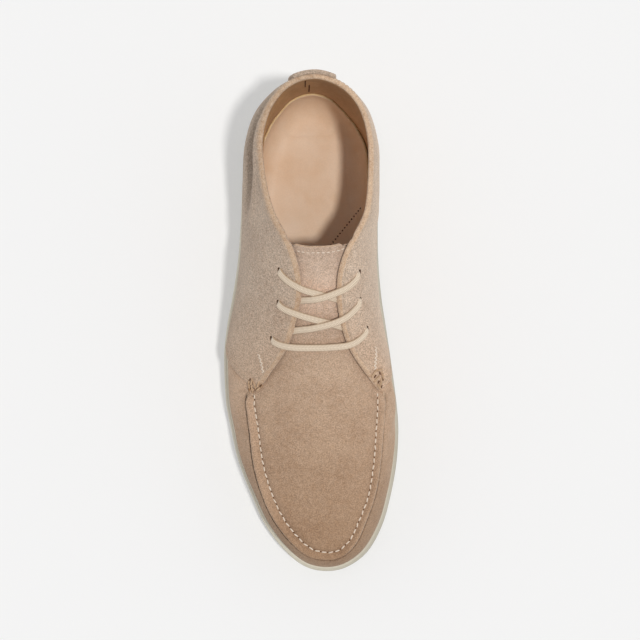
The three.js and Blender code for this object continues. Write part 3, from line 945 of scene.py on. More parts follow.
@dataclass
class Finishes:
    """Every material of the shoe, made once."""

    def __post_init__(self) -> None:
        """Makes the materials."""
        # Split cowhide suede, brushed: no gloss, nap that catches light at the edges, cloudy colour.
        suede = Finish(
            "brushed_suede", "#d7bfa9", "#c7ad97", "#e5d0bc", cloud_mm=22, brush_mm=3.0, grain_mm=0.8,
            brush=0.5, grain=0.46, bump=0.9, bump_mm=0.4, roughness=1.0, sheen=0.3, sheen_tint="#e6dccf",
            specular=0.2, tint_and_shade_along=((-60, "#fff1e4"), (20, "#ffffff")),
        )
        self.suede = suede.make()
        # The same hide on the vamp and apron, its nap brushed down towards the toe: browner, and darker
        # towards the toe by painted shade.
        self.vamp_suede = replace(
            suede, name="vamp_suede", base="#edcaab", shade="#dbb697", light="#f8d8bd", sheen=0.2,
            grain_mm=0.7, grain=0.38,
            tint_and_shade_along=((-140, "#c4bbb1"), (-60, "#dcd9d6"), (-20, "#e5e6e7"), (14, "#eaf0fa")),
        ).make()
        # The same hide's cut edge: loose undyed fibres, lighter and warmer.
        self.cut_edge = Finish(
            "cut_suede_edge", "#d9b898", "#c29c7c", "#ead2b8", cloud_mm=3, brush_mm=1.1, grain_mm=0.5,
            brush=0.6, grain=0.3, bump=1.0, bump_mm=0.4, roughness=1.0, sheen=0.3, specular=0.2,
        ).make()
        # The same hide's flesh side, inside the shoe: browner, flat fibres without a brushed nap.
        self.flesh = Finish(
            "suede_flesh_side", "#b0896a", "#9a7353", "#bf9a7a", cloud_mm=12, brush_mm=2.5, grain_mm=0.5,
            grain=0.2, bump=0.5, roughness=1.0, specular=0.2,
        ).make()
        # Calf lining, aniline dyed and glazed thin: warm brown, a dull sheen on fine pores.
        self.lining = Finish(
            "calf_lining", "#cc9f70", "#ba8d5f", "#d8ae82", cloud_mm=18, brush_mm=3.0, grain_mm=0.7,
            brush=0.4, grain=0.12, bump=0.25, bump_mm=0.12, roughness=0.6, specular=0.4,
        ).make()
        # Vegetable-tanned footbed leather: smooth, matt, faintly cloudy.
        self.footbed = Finish(
            "veg_tan_footbed", "#ebceb1", "#e2bf9c", "#f1dac3", cloud_mm=30, brush_mm=8.0, grain_mm=0.8,
            brush=0.4, grain=0.05, bump=0.12, bump_mm=0.08, roughness=0.55, specular=0.4,
        ).make()
        # Its cut rim, waxed pale.
        self.footbed_edge = Finish(
            "veg_tan_cut_edge", "#e9cc98", "#d9b780", "#f1dbb2", cloud_mm=6, brush_mm=1.5, grain_mm=0.4,
            grain=0.15, bump=0.4, roughness=0.8,
        ).make()
        # Cream rubber, moulded: matt, very slightly uneven.
        self.rubber = Finish(
            "moulded_cream_rubber", "#d5cebc", "#cac2af", "#ded8c8", cloud_mm=40, brush_mm=6.0, grain_mm=0.9,
            brush=0.3, grain=0.06, bump=0.25, bump_mm=0.15, roughness=0.62, ior=1.52, specular=0.4,
        ).make()
        # Waxed cotton thread, cream.
        self.thread = Finish(
            "waxed_cream_thread", "#f0dfcc", "#e2cdb6", "#f7eadb", cloud_mm=5, brush_mm=1.0, grain_mm=0.25,
            grain=0.2, bump=0.5, bump_mm=0.1, roughness=0.7, specular=0.3,
        ).make()
        # Thick hand-sewn cord, waxed tan.
        self.cord = Finish(
            "waxed_tan_cord", "#cfae8c", "#b58f6c", "#dfc3a5", cloud_mm=3, brush_mm=0.8, grain_mm=0.3,
            grain=0.3, bump=0.6, bump_mm=0.15, roughness=0.8, specular=0.3,
        ).make()
        # Tonal thread, the suede's own colour.
        self.tonal = Finish(
            "tonal_thread", "#d2bba2", "#c0a88f", "#dcc8b2", cloud_mm=5, brush_mm=1.0, grain_mm=0.25,
            grain=0.2, bump=0.5, bump_mm=0.1, roughness=0.8, specular=0.3,
        ).make()
        # A needle hole: the shadowed inside of the leather.
        self.hole = Finish(
            "needle_hole", "#73543e", "#62452f", "#80614b", cloud_mm=5, brush_mm=1.0, grain_mm=0.3,
            roughness=1.0, specular=0.1,
        ).make()
        self.cotton = Weave().make()


# ---- the upper -----------------------------------------------------------------------------


class Side(Enum):
    """A side of the shoe: lateral is the outer one and medial the inner one."""

    LATERAL = 0
    MEDIAL = 1


@dataclass(frozen=True)
class Crease:
    """A soft trough with a ridge beside it, along a line on the upper.

    The line's points are (u, s): the place round the loop and the share of the wall's height.
    """

    line: Sequence[tuple[float, float]]
    depth: float
    width: float
    # how much painted shade darkens the trough, from 0 to 1
    dark: float = 0.0

    def reach(self, last: Last, points: Array) -> tuple[Array, Array]:
        """Measures how each point lies to the line.

        Args:
            last: The last's surface.
            points: Points on it.

        Returns:
            The distance in widths, and the crease's strength there, from 0 to 1.
        """
        u, s = np.array(self.line).T
        t = np.linspace(0, len(u) - 1, 12 * len(u))
        number = np.arange(len(u))
        path = last.surface(np.interp(t, number, u), np.interp(t, number, s))
        fade = np.sin(np.linspace(0, math.pi, len(path))) ** 0.7
        flat = points.reshape(-1, 3)
        distance = np.full(len(flat), np.inf)
        strength = np.zeros(len(flat))
        for spot, weight in zip(path, fade):
            d = np.linalg.norm(flat - spot, axis=1)
            closer = d < distance
            distance = np.where(closer, d, distance)
            strength = np.where(closer, weight, strength)
        shape = points.shape[:-1]
        return (distance / self.width).reshape(shape), strength.reshape(shape)

    def offset(self, last: Last, points: Array) -> Array:
        """Works out the trough and its ridge.

        Args:
            last: The last's surface.
            points: Points on it.

        Returns:
            How far each point moves out in mm, negative in the trough.
        """
        share, strength = self.reach(last, points)
        dent = -np.exp(-(share**2)) + 0.45 * np.exp(-((share - 1.9) ** 2) * 1.4)
        return self.depth * strength * dent

    def painted_crease_shade(self, last: Last, points: Array) -> Array:
        """Returns the painted shade in the trough at each point, from 0 to 1."""
        share, strength = self.reach(last, points)
        return self.dark * strength * np.exp(-((share / 1.3) ** 2))


@dataclass
class Upper:
    """The suede upper: vamp wall, two quarters, collar lining, back strip, and their stitching."""

    last: Last
    shop: Workshop
    finishes: Finishes
    suede: float = 2.0
    vamp_suede: float = 1.7
    lining: float = 1.4
    slack: float = 0.3
    overlap: float = 1.4
    skive: float = 0.9
    # length, width and height of a tonal stitch
    tonal_stitch: tuple[float, float, float] = (1.9, 0.6, 0.5)
    stitch_pitch: float = 2.6
    gather_pitch: float = 4.0
    topline_row: float = 3.2
    # how far below the edge the skive begins
    skive_from: float = 2.2
    # how far behind its front edge the quarter has come down from the vamp, and how far a place
    # round the loop is from the next by that edge
    ride: float = 16.0
    place_step: float = 14.0
    # the back strip's half width, in places round the loop, and its thickness
    tab_half: float = 0.69
    strip: float = 2.2
    # falling distances in mm from the top line of a panel's last rows: the quarters', the vamp's
    close: Sequence[float] = (3.6, 2.8, 2.2, 1.7, 1.25, 0.85, 0.5, 0.22, 0.0)
    vamp_close: Sequence[float] = (4.2, 3.4, 2.7, 2.1, 1.6, 1.15, 0.75, 0.4, 0.15, 0.0)
    # share of the wall's height, place round the loop: the quarter's front edge
    wing: Sequence[tuple[float, float]] = (
        (0.0, 10.3), (0.3, 9.6), (0.61, 8.88), (0.825, 8.42), (0.93, 8.2), (1.0, 8.06),
    )
    # x, y of each eyelet, lateral then medial
    eyelets: Sequence[Sequence[tuple[float, float]]] = (
        ((-22.6, -7.3), (-18.6, 13.4), (-17.9, 31.8)),
        ((33.2, -1.9), (28.7, 15.0), (28.0, 30.6)),
    )
    eyelet_radius: float = 2.1
    # line, depth, width, and painted shade in the trough
    creases: Sequence[Crease] = (
        Crease(
            ((19.6, 0.86), (18.8, 0.80), (18.0, 0.76), (17.3, 0.72), (16.6, 0.60), (15.9, 0.45)),
            3.2, 5.0, 0.38,
        ),
        Crease(((20.2, 0.62), (19.0, 0.55), (18.0, 0.50), (17.0, 0.40)), 0.6, 9.0, 0.28),
        Crease(((14.2, 0.55), (14.8, 0.42), (15.6, 0.30)), 0.8, 6.0),
        Crease(((27.6, 0.55), (27.0, 0.40), (26.3, 0.28)), 0.7, 6.0),
        Crease(((25.6, 0.60), (24.6, 0.55), (23.6, 0.60)), 0.6, 6.0),
        Crease(((5.2, 0.75), (5.9, 0.5), (6.6, 0.3)), 0.6, 5.0),
        Crease(((36.6, 0.7), (36.0, 0.5), (35.4, 0.3)), 0.5, 5.0),
    )

    # x, y, heading in degrees from medial: the flap corners' cords, and dark beads of painted shade in the
    # gaps between them
    cords: Sequence[tuple[float, float, float]] = (
        (-35.2, -33.6, 95), (-33.4, -31.4, 72), (-31.8, -34.2, 108), (-29.6, -32.8, 70), (-33.4, -36.2, 100),
        (-29.0, -35.4, 45),
        (35.8, -26.8, 55), (38.4, -24.8, 15), (40.8, -27.4, 105), (37.6, -30.0, 48), (40.0, -31.8, 78),
        (38.6, -34.0, 125),
    )
    shaded_gaps: Sequence[tuple[float, float, float]] = (
        (-32.6, -33.0, 95), (-30.4, -36.4, 60), (-28.2, -34.2, 60), (-34.6, -30.6, 70),
        (36.6, -28.4, 55), (39.4, -26.6, 100), (41.2, -30.2, 85), (38.7, -31.8, 60), (40.4, -34.6, 75),
    )

    def relief(self, points: Array) -> Array:
        """Works out the creases and the hide's soft unevenness.

        Args:
            points: Points on the last.

        Returns:
            How far each one moves out in mm.
        """
        total = 0.22 * rough(points, 26, 3.0) + 0.08 * rough(points, 7, 11.0)
        for crease in self.creases:
            total = total + crease.offset(self.last, points)
        return total

    def painted_crease_shade(self, points: Array) -> Array:
        """Returns the painted shade in the creases, from 0 to 1."""
        return sum(crease.painted_crease_shade(self.last, points) for crease in self.creases if crease.dark)

    def place(self, side: Side, u: Array) -> Array:
        """Returns a lateral place round the loop on the side wanted."""
        return u if side is Side.LATERAL else self.last.turns - u

    def front(self, s: Array) -> Array:
        """Returns the quarter's front edge's place round the loop at shares of the wall's height."""
        return column(*np.array(self.wing).T)(s)

    def riding(self, behind: Array) -> Array:
        """Returns how far the quarter rides up on the vamp, at places behind its front edge."""
        return self.overlap * np.exp(-((behind * self.place_step / self.ride) ** 2))

    def skived(self, depth: Array) -> Array:
        """Returns how far the face is pared down and rounded, at depths below the cut edge."""
        t = np.clip(1 - depth / self.skive_from, 0, 1)
        return self.skive * (1 - np.sqrt(1 - t * t))

    def padding(self, u: Array, s: Array) -> Array:
        """Returns the thickness of the lining's padding, which fills the footbed's room and fades out."""
        return (self.last.pad(u) + self.slack) * (1 - smooth_step(0.32, 0.86, s))

    def panel(
        self,
        name: str,
        hide: Hide,
        finish: Sequence[bpy.types.Material],
        rim_rows: int = 0,
        shade: Array | float = 0.0,
        replaces: Sequence[str] = (),
    ) -> bpy.types.Object:
        """Makes a panel's piece.

        Args:
            name: The piece's name.
            hide: The panel's shape.
            finish: The materials of its face, its cut edge and its back.
            rim_rows: How many of the face's last rows are cut edge as well.
            shade: How much darker each point of the grid is painted, lighter below 0.
            replaces: The CAD nodes that it stands for.

        Returns:
            The Blender object.
        """
        shell, faces, sides = hide.shell()
        rows, columns = hide.points.shape[:2]
        top = sides[: (rows - 1) * (columns - 1)].reshape(rows - 1, columns - 1)
        top[rows - 1 - rim_rows :] = 1
        marks = {"shade": hide.spread(shade)}
        return self.shop.piece(name, shell, faces, finish, sides, replaces=replaces, marks=marks)

    def quarter(self, side: Side) -> None:
        """Builds one quarter, from its wing seam over the eyelet flap to the back seam.

        Args:
            side: The quarter's side.
        """
        last = self.last
        step = np.linspace(0, 1, 300)
        start = self.wing[-1][1]
        s = last.rows_up(self.place(side, start + (last.heel - start) * step), 66, self.close)
        front = self.front(s)
        u = front + (last.heel - 0.02 - front) * step
        place = self.place(side, u)
        points, normals = last.surface(place, s), last.facing(place, s)
        depth = (1 - s) * last.wall_length(place[-1])
        lift = self.relief(points) + self.riding(u - front) - self.skived(depth)
        if side is Side.MEDIAL:
            points, normals, lift = points[:, ::-1], normals[:, ::-1], lift[:, ::-1]
        hide = Hide(points, normals, self.suede, lift)
        lateral = side is Side.LATERAL
        finishes = self.finishes
        thing = self.panel(
            f"quarter_{side.name.lower()}",
            hide,
            [finishes.suede, finishes.cut_edge, finishes.flesh],
            rim_rows=6 if lateral else 5,
            # The creases get painted shade, and the inner quarter painted light that makes it paler all
            # over.
            shade=self.painted_crease_shade(points) - (0.0 if lateral else 0.13),
            replaces=("upper",) if lateral else (),
        )
        self.shop.cut(thing, [self.punch(x, y) for x, y in self.eyelets[side.value]])

    def punch(self, x: float, y: float) -> bpy.types.Object:
        """Makes the narrow punch that cuts one eyelet.

        Args:
            x: The eyelet's place across the shoe.
            y: Its place along it.

        Returns:
            A closed cylinder that stands through the flap.
        """
        centre = np.array([x, y, float(self.last.crown(x, y))])
        up = self.last.crown_normal(np.array(x), np.array(y))
        bpy.ops.mesh.primitive_cylinder_add(vertices=24, radius=self.eyelet_radius * MM, depth=14 * MM)
        cutter = bpy.context.object
        cutter.scale = (0.5, 1.1, 1)
        cutter.rotation_mode = "QUATERNION"
        cutter.rotation_quaternion = Vector((0, 0, 1)).rotation_difference(Vector(up))
        cutter.location = Vector((centre + self.shop.shift) * MM)
        cutter.data.materials.append(self.finishes.hole)
        return cutter

    def vamp(self) -> None:
        """Builds the vamp's wall, from under one wing seam round the toe to the other."""
        last = self.last
        step = np.linspace(-1, 1, 520)
        s = last.rows_up(8.0 * step, 44, self.vamp_close)
        reach = self.front(s) + 0.6 * (1 - smooth_step(0.8, 1.0, s))
        u = reach * step
        points, normals = last.surface(u, s), last.facing(u, s)
        under = smooth_step(-0.35, 0.05, np.abs(u) - self.front(s))
        depth = (1 - s) * last.wall_length(u[-1])
        # Each stitch of the apron gathers the wall a little; a gutter runs under the apron's lip, and
        # the wall's edge turns up into the lip. Both end at the flap corners.
        turns = run_of(points[-1]) / self.gather_pitch
        gather = 0.16 * np.sin(turns * 2 * math.pi) * np.exp(-(((depth - 2.0) / 2.0) ** 2))
        corner = 1 - smooth_step(6.7, 7.3, np.abs(u))
        lift = self.relief(points) * (1 - under) - 0.6 * under
        lift += gather - (0.3 + 1.5 * corner) * np.exp(-(((depth - 1.3) / 0.75) ** 2))
        lift += 0.35 * np.exp(-((depth / 0.5) ** 2)) * corner
        hide = Hide(points, normals, self.vamp_suede, lift)
        # Painted shade darkens the gutter, along the sole and round the toe, and beside the wing seams;
        # painted light lifts the wall away from the toe.
        groove_shade = (0.45 + 0.47 * smooth_step(0.5, 4.0, u)) * (1 - smooth_step(2.1, 3.2, depth)) * corner
        welt_shade = 0.45 * np.exp(-((s / 0.13) ** 2)) + 0.12 * (1 - smooth_step(0.0, 0.6, s))
        toe = 1 - smooth_step(3.0, 7.0, np.abs(u))
        ahead = (self.front(s) - np.abs(u)) - 0.03125
        seam = np.where(u < 0, 0.6, 0.12) * np.exp(-((ahead / 0.05) ** 2))
        finishes = self.finishes
        self.panel(
            "vamp",
            hide,
            [finishes.vamp_suede, finishes.cut_edge, finishes.flesh],
            shade=groove_shade + seam + (welt_shade + 0.08) * toe - 0.1 * (1 - toe),
        )

    def collar_lining(self) -> None:
        """Builds the calf lining of the quarters in one piece, padded round the heel."""
        last = self.last
        u = np.linspace(9.4, last.turns - 9.4, 400)
        from_front = np.minimum(u, last.turns - u)
        # Beside the throat the lining's edge drops below the flaps', out of sight.
        inset = 0.15 + 7.0 * (1 - smooth_step(13.4, 14.6, from_front))
        top = 1 - inset / last.wall_length(u)
        share = 0.06 + (top - 0.06) * (1 - (1 - np.linspace(0, 1, 50)[:, None]) ** 1.3)
        u, s = np.broadcast_arrays(u[None], share)
        points, normals = last.surface(u, s), last.facing(u, s)
        thinned = 0.35 * np.clip(1 - (top - share) * last.wall_length(u[0]) / 1.6, 0, 1)
        lift = self.relief(points) - self.suede - 0.02
        hide = Hide(points, normals, self.lining + self.padding(u, s) - thinned, lift)
        lining = self.finishes.lining
        self.panel("collar_lining", hide, [lining, self.finishes.cut_edge, lining])

    def back_seam(self) -> None:
        """Sews the lining's short back seam, two dark runs that show above the footbed."""
        last = self.last
        threads = Threads(4.4, 0.8, 0.8)
        for shift, low, high in ((-0.32, 0.60, 0.86), (-0.16, 0.40, 0.62)):
            s = np.linspace(low, high, 20)
            u = np.full_like(s, last.heel + shift)
            points, normals = last.surface(u, s), last.facing(u, s)
            depth = self.suede + self.lining + self.padding(u, s) - self.relief(points)
            threads.run(points - normals * depth[:, None], -normals, self.stitch_pitch)
        self.shop.sewn("lining_back_seam", threads, self.finishes.hole)

    def back_strip(self) -> None:
        """Builds the strip over the back seam, square cut at the collar."""
        last = self.last
        u = np.linspace(last.heel - self.tab_half, last.heel + self.tab_half, 48)
        s = last.rows_up(u, 70, self.close) * 0.955 + 0.04
        grid = np.broadcast_to(u[None], s.shape)
        points, normals = last.surface(grid, s), last.facing(grid, s)
        thick = self.strip + self.skived((1 - s) * last.wall_length(u))
        hide = Hide(points, normals, thick, self.relief(points) + self.strip + 0.1, edge_round=0.15)
        suede = self.finishes.suede
        self.panel("back_strip", hide, [suede, suede, suede], shade=0.1, replaces=("heel_tab",))

    def line_on(self, u: Array, s: Array, lift: Array | float) -> tuple[Array, Array]:
        """Lays a line on the upper's face.

        Args:
            u: Places round the loop.
            s: Shares of the wall's height.
            lift: How far the line stands off the last, over the relief.

        Returns:
            The line's points and the ways out from the face.
        """
        points, normals = self.last.surface(u, s), self.last.facing(u, s)
        rise = self.relief(points) + lift
        return points + normals * rise[..., None], normals

    def topline_stitches(self) -> None:
        """Sews the tonal row inside the flaps' and the collar's edge."""
        last = self.last
        threads = Threads(*self.tonal_stitch)
        for side in Side:
            u = np.linspace(8.3, last.heel - 0.72, 700)
            place = self.place(side, u)
            share = 1 - self.topline_row / last.wall_length(place)
            points, normals = self.line_on(place, share, 0.05 + self.riding(u - self.wing[-1][1]))
            threads.run(points, normals, self.stitch_pitch)
        self.shop.sewn("topline_stitches", threads, self.finishes.tonal)

    def wing_stitches(self) -> None:
        """Sews the tonal row behind the quarters' front edges."""
        threads = Threads(*self.tonal_stitch)
        share = np.linspace(0.03, 0.93, 160)
        for side in Side:
            place = self.place(side, self.front(share) + 0.2)
            points, normals = self.line_on(place, share, 0.05 + self.overlap)
            threads.run(points, normals, self.stitch_pitch)
        self.shop.sewn("wing_stitches", threads, self.finishes.tonal)

    def bar_tacks(self) -> None:
        """Sews each flap's lower corner: a zigzag tack, and thick hand-sewn cords below it."""
        finishes = self.finishes
        zigzag = Threads(2.4, 0.95, 0.7)
        tacks = {
            Side.LATERAL: ((9.8, 0.765), (9.43, 0.85), (9.05, 0.935)),
            Side.MEDIAL: ((10.0, 0.76), (9.77, 0.785), (9.4, 0.85), (9.15, 0.89)),
        }
        for side, line in tacks.items():
            u, s = np.array(line).T
            steps, number = np.linspace(0, len(u) - 1, 60), np.arange(len(u))
            u, s = np.interp(steps, number, u), np.interp(steps, number, s)
            lift = 0.12 + self.riding(u - self.front(s))
            points, normals = self.line_on(self.place(side, u), s, lift)
            zigzag.run(points, normals, pitch=1.15, start=0.5, slants=(62, 118))
        self.shop.sewn("flap_bar_tacks", zigzag, finishes.thread)
        # The dark beads between the cords are painted shade.
        for name, threads, knots, lift, finish in (
            ("flap_corner_cords", Threads(5.4, 1.35, 1.1), self.cords, 0.25, finishes.cord),
            ("flap_corner_gap_shade", Threads(2.2, 1.0, 0.6), self.shaded_gaps, 0.2, finishes.hole),
        ):
            x, y, heading = np.array(knots, float).T
            points = np.stack([x, y, self.last.crown(x, y)], -1)
            up = self.last.crown_normal(x, y)
            rise = self.relief(points) + self.overlap + lift
            turn = np.radians(heading)
            along = np.stack([np.cos(turn), np.sin(turn), 0 * turn], -1)
            threads.sew(points + up * rise[:, None], along, up)
            self.shop.sewn(name, threads, finish)

    def build(self) -> None:
        """Builds every piece of the upper."""
        for side in Side:
            self.quarter(side)
        self.vamp()
        self.collar_lining()
        self.back_seam()
        self.back_strip()
        self.topline_stitches()
        self.wing_stitches()
        self.bar_tacks()


# ---- apron and tongue ----------------------------------------------------------------------


@dataclass
class Apron:
    """The moccasin apron and the tongue, one piece of suede, with its hand-sewn seam."""

    last: Last
    shop: Workshop
    finishes: Finishes
    suede: float = 1.6
    # the lip's height over the vamp's edge, and how far it stands past the vamp's top line
    lip: float = 2.0
    overhang: float = -0.25
    # place round the loop; the stitches' distance inside the edge, lateral and medial
    seam_insets: Sequence[tuple[float, float, float]] = (
        (0.0, 4.0, 4.0), (2.0, 4.6, 3.6), (4.0, 5.0, 3.1), (5.5, 4.6, 3.2), (7.0, 3.6, 3.4), (7.9, 3.4, 3.4),
    )
    stitch_pitch: float = 4.0
    # the place round the loop where the seam ends, and how deep the tongue lies under the flaps
    seam_end: float = 7.85
    under_flap: float = 4.2
    # the tongue's stitched row: its distance from the top edge, and its pitch
    tongue_row: float = 3.1
    tongue_pitch: float = 2.9
    # y, lateral x, medial x: the piece's edges from the seam's end, under the flaps, to its top
    tongue: Sequence[tuple[float, float, float]] = (
        (-34.0, -33.0, 39.5),
        (-26.0, -29.0, 37.0),
        (-13.0, -22.5, 30.5),
        (3.0, -17.5, 25.5),
        (18.0, -14.5, 24.0),
        (32.0, -15.5, 24.5),
        (40.0, -16.5, 25.5),
        (43.6, -16.5, 25.5),
    )
    # x, y of the tongue's top edge
    top: Sequence[tuple[float, float]] = (
        (-13.6, 46.6), (-11.5, 45.5), (-5.9, 44.0), (-0.2, 43.4), (6.6, 43.4), (13.9, 44.1), (18.5, 45.2),
        (22.6, 46.8),
    )

    def seam_inset(self, u: Array) -> Array:
        """Returns the stitch line's distance inside the apron's edge, round the loop from -u to u."""
        places, lateral, medial = np.array(self.seam_insets).T
        return np.where(u > 0, column(places, lateral)(np.abs(u)), column(places, medial)(np.abs(u)))

    def seam(self, u: Array, inset: Array | float) -> Array:
        """Draws a line inside the apron's seam, in plan.

        Args:
            u: Places round the loop.
            inset: How far inside the vamp's top line each point lies; outside where negative.

        Returns:
            The plan points.
        """
        rim, ahead, behind = (self.last.rim(u + d)[..., :2] for d in (0, 0.02, -0.02))
        tangent = ahead - behind
        inner = unit(np.stack([tangent[..., 1], -tangent[..., 0]], -1))
        return rim + inner * np.broadcast_to(inset, u.shape)[..., None]

    def build_piece(self) -> None:
        """Builds the suede piece."""
        last = self.last
        u = 0.02 + (self.seam_end - 0.02) * np.linspace(0.0, 1, 170) ** 1.1
        left, right = self.seam(u, -self.overhang), self.seam(-u, -self.overhang)
        rows = np.array([(left[-1, 1], left[-1, 0], right[-1, 0]), *self.tongue])
        y = np.linspace(rows[0, 0], rows[-1, 0], 110)[1:]
        left = np.r_[left, np.stack([column(rows[:, 0], rows[:, 1])(y), y], -1)]
        right = np.r_[right, np.stack([column(rows[:, 0], rows[:, 2])(y), y], -1)]
        # The columns stand closer at both edges, where the lip and the stitches' valley are.
        t = np.linspace(0, 1, 150)[None, :, None]
        t = t - 0.06 * np.sin(2 * math.pi * t)
        grid = right[:, None] * (1 - t) + left[:, None] * t
        x, y = grid[..., 0], grid[..., 1]
        rise = column(*np.array(self.top).T)(x) - self.tongue[-1][0]
        y = y + rise * smooth_step(30, self.tongue[-1][0], y)
        points = np.stack([x, y, last.crown(x, y)], -1)
        lift, paler_lip = self.profile(points)
        hide = Hide(points, last.crown_normal(x, y), self.suede, lift)
        shell, faces, sides = hide.shell()
        finishes = self.finishes
        # The lip is painted paler, and painted light brightens the tongue where the laces cross it, in the
        # shade of the flaps.
        shade = -0.14 * paler_lip - 0.3 * np.exp(-(((y - 17) / 13) ** 2))
        self.shop.piece(
            "apron_and_tongue",
            shell,
            faces,
            [finishes.vamp_suede, finishes.cut_edge, finishes.flesh],
            sides,
            replaces=("tongue",),
            marks={"shade": hide.spread(shade)},
        )

    def profile(self, points: Array) -> tuple[Array, Array]:
        """Works out the relief of the piece's face.

        Args:
            points: Points on the crown.

        Returns:
            Each point's height over the crown (the lip over the vamp's edge, the valley along the stitches,
            the dip under the flaps), and how much paler it is painted, from 0 to 1 on the lip.
        """
        u = np.linspace(-self.seam_end, self.seam_end, 600)
        line, inner = self.seam(u, 0.0), self.seam(u, 1.0) - self.seam(u, 0.0)
        flat = points.reshape(-1, 3)
        best, place, inside = np.full(len(flat), np.inf), np.zeros(len(flat)), np.zeros(len(flat))
        for spot, normal, where in zip(line, inner, u):
            off = flat[:, :2] - spot
            d = np.hypot(off[:, 0], off[:, 1])
            closer = d < best
            best, place = np.where(closer, d, best), np.where(closer, where, place)
            inside = np.where(closer, off @ normal, inside)
        edge = np.where(inside < 0, -best, best)
        inset = self.seam_inset(place)
        rolled = np.clip(1 - (edge + self.overhang) / 1.1, 0, 1)
        lip = self.lip * (1 - smooth_step(0.35, 1.0, edge / inset)) - 0.6 * (1 - np.sqrt(1 - rolled**2))
        valley = -0.75 * np.exp(-(((edge - inset) / 1.0) ** 2))
        swell = 0.55 * np.exp(-(((edge - inset - 4.2) / 2.8) ** 2))
        y = flat[:, 1]
        ends = 1 - smooth_step(-44, -37, y)
        rise = 0.2 * rough(flat, 24, 5.0) + 0.07 * rough(flat, 7, 9.0)
        dip = -1.2 * smooth_step(-46, -38, y) - (self.under_flap - 1.2) * smooth_step(-38, -20, y)
        lift = (lip + valley + swell) * ends + rise + dip
        paler_lip = np.exp(-(((edge - 1.2) / 1.6) ** 2)) * ends * (0.25 + 0.75 * smooth_step(0.5, 4.5, place))
        return lift.reshape(points.shape[:-1]), paler_lip.reshape(points.shape[:-1])

    def on_face(self, x: Array, y: Array, lift: float) -> tuple[Array, Array]:
        """Lays a line on the piece's face.

        Args:
            x: Places across the shoe.
            y: Places along it.
            lift: How far the line stands off the face.

        Returns:
            The line's points and the ways up from the face.
        """
        points = np.stack([x, y, self.last.crown(x, y)], -1)
        normals = self.last.crown_normal(x, y)
        return points + normals * (self.profile(points)[0] + lift)[:, None], normals

    def stitches(self) -> None:
        """Sews the cream seam, and sinks its needle holes between the stitches."""
        u = np.linspace(-self.seam_end + 0.55, self.seam_end - 0.55, 1200)
        x, y = self.seam(u, self.seam_inset(u)).T
        points, normals = self.on_face(x, y, 0.22)
        pitch, start = self.stitch_pitch, 1.5
        threads, holes = Threads(3.05, 1.0, 0.85), Threads(1.3, 0.95, 0.6)
        threads.run(points, normals, pitch, start, slants=(12, -4, 15, 3, 9, -9))
        holes.run(points - normals * 0.3, normals, pitch, start + pitch / 2)
        self.shop.sewn("apron_stitches", threads, self.finishes.thread)
        self.shop.sewn("apron_needle_holes", holes, self.finishes.hole)

    def tongue_stitches(self) -> None:
        """Sews the cream row under the tongue's top edge."""
        x = np.linspace(-9.5, 21.0, 60)
        y = column(*np.array(self.top).T)(x) - self.tongue_row
        threads = Threads(2.0, 0.75, 0.6)
        threads.run(*self.on_face(x, y, 0.1), self.tongue_pitch, start=1.0)
        self.shop.sewn("tongue_stitches", threads, self.finishes.thread)

    def build(self) -> None:
        """Builds the piece and its stitching."""
        self.build_piece()
        self.stitches()
        self.tongue_stitches()


# ---- laces ---------------------------------------------------------------------------------


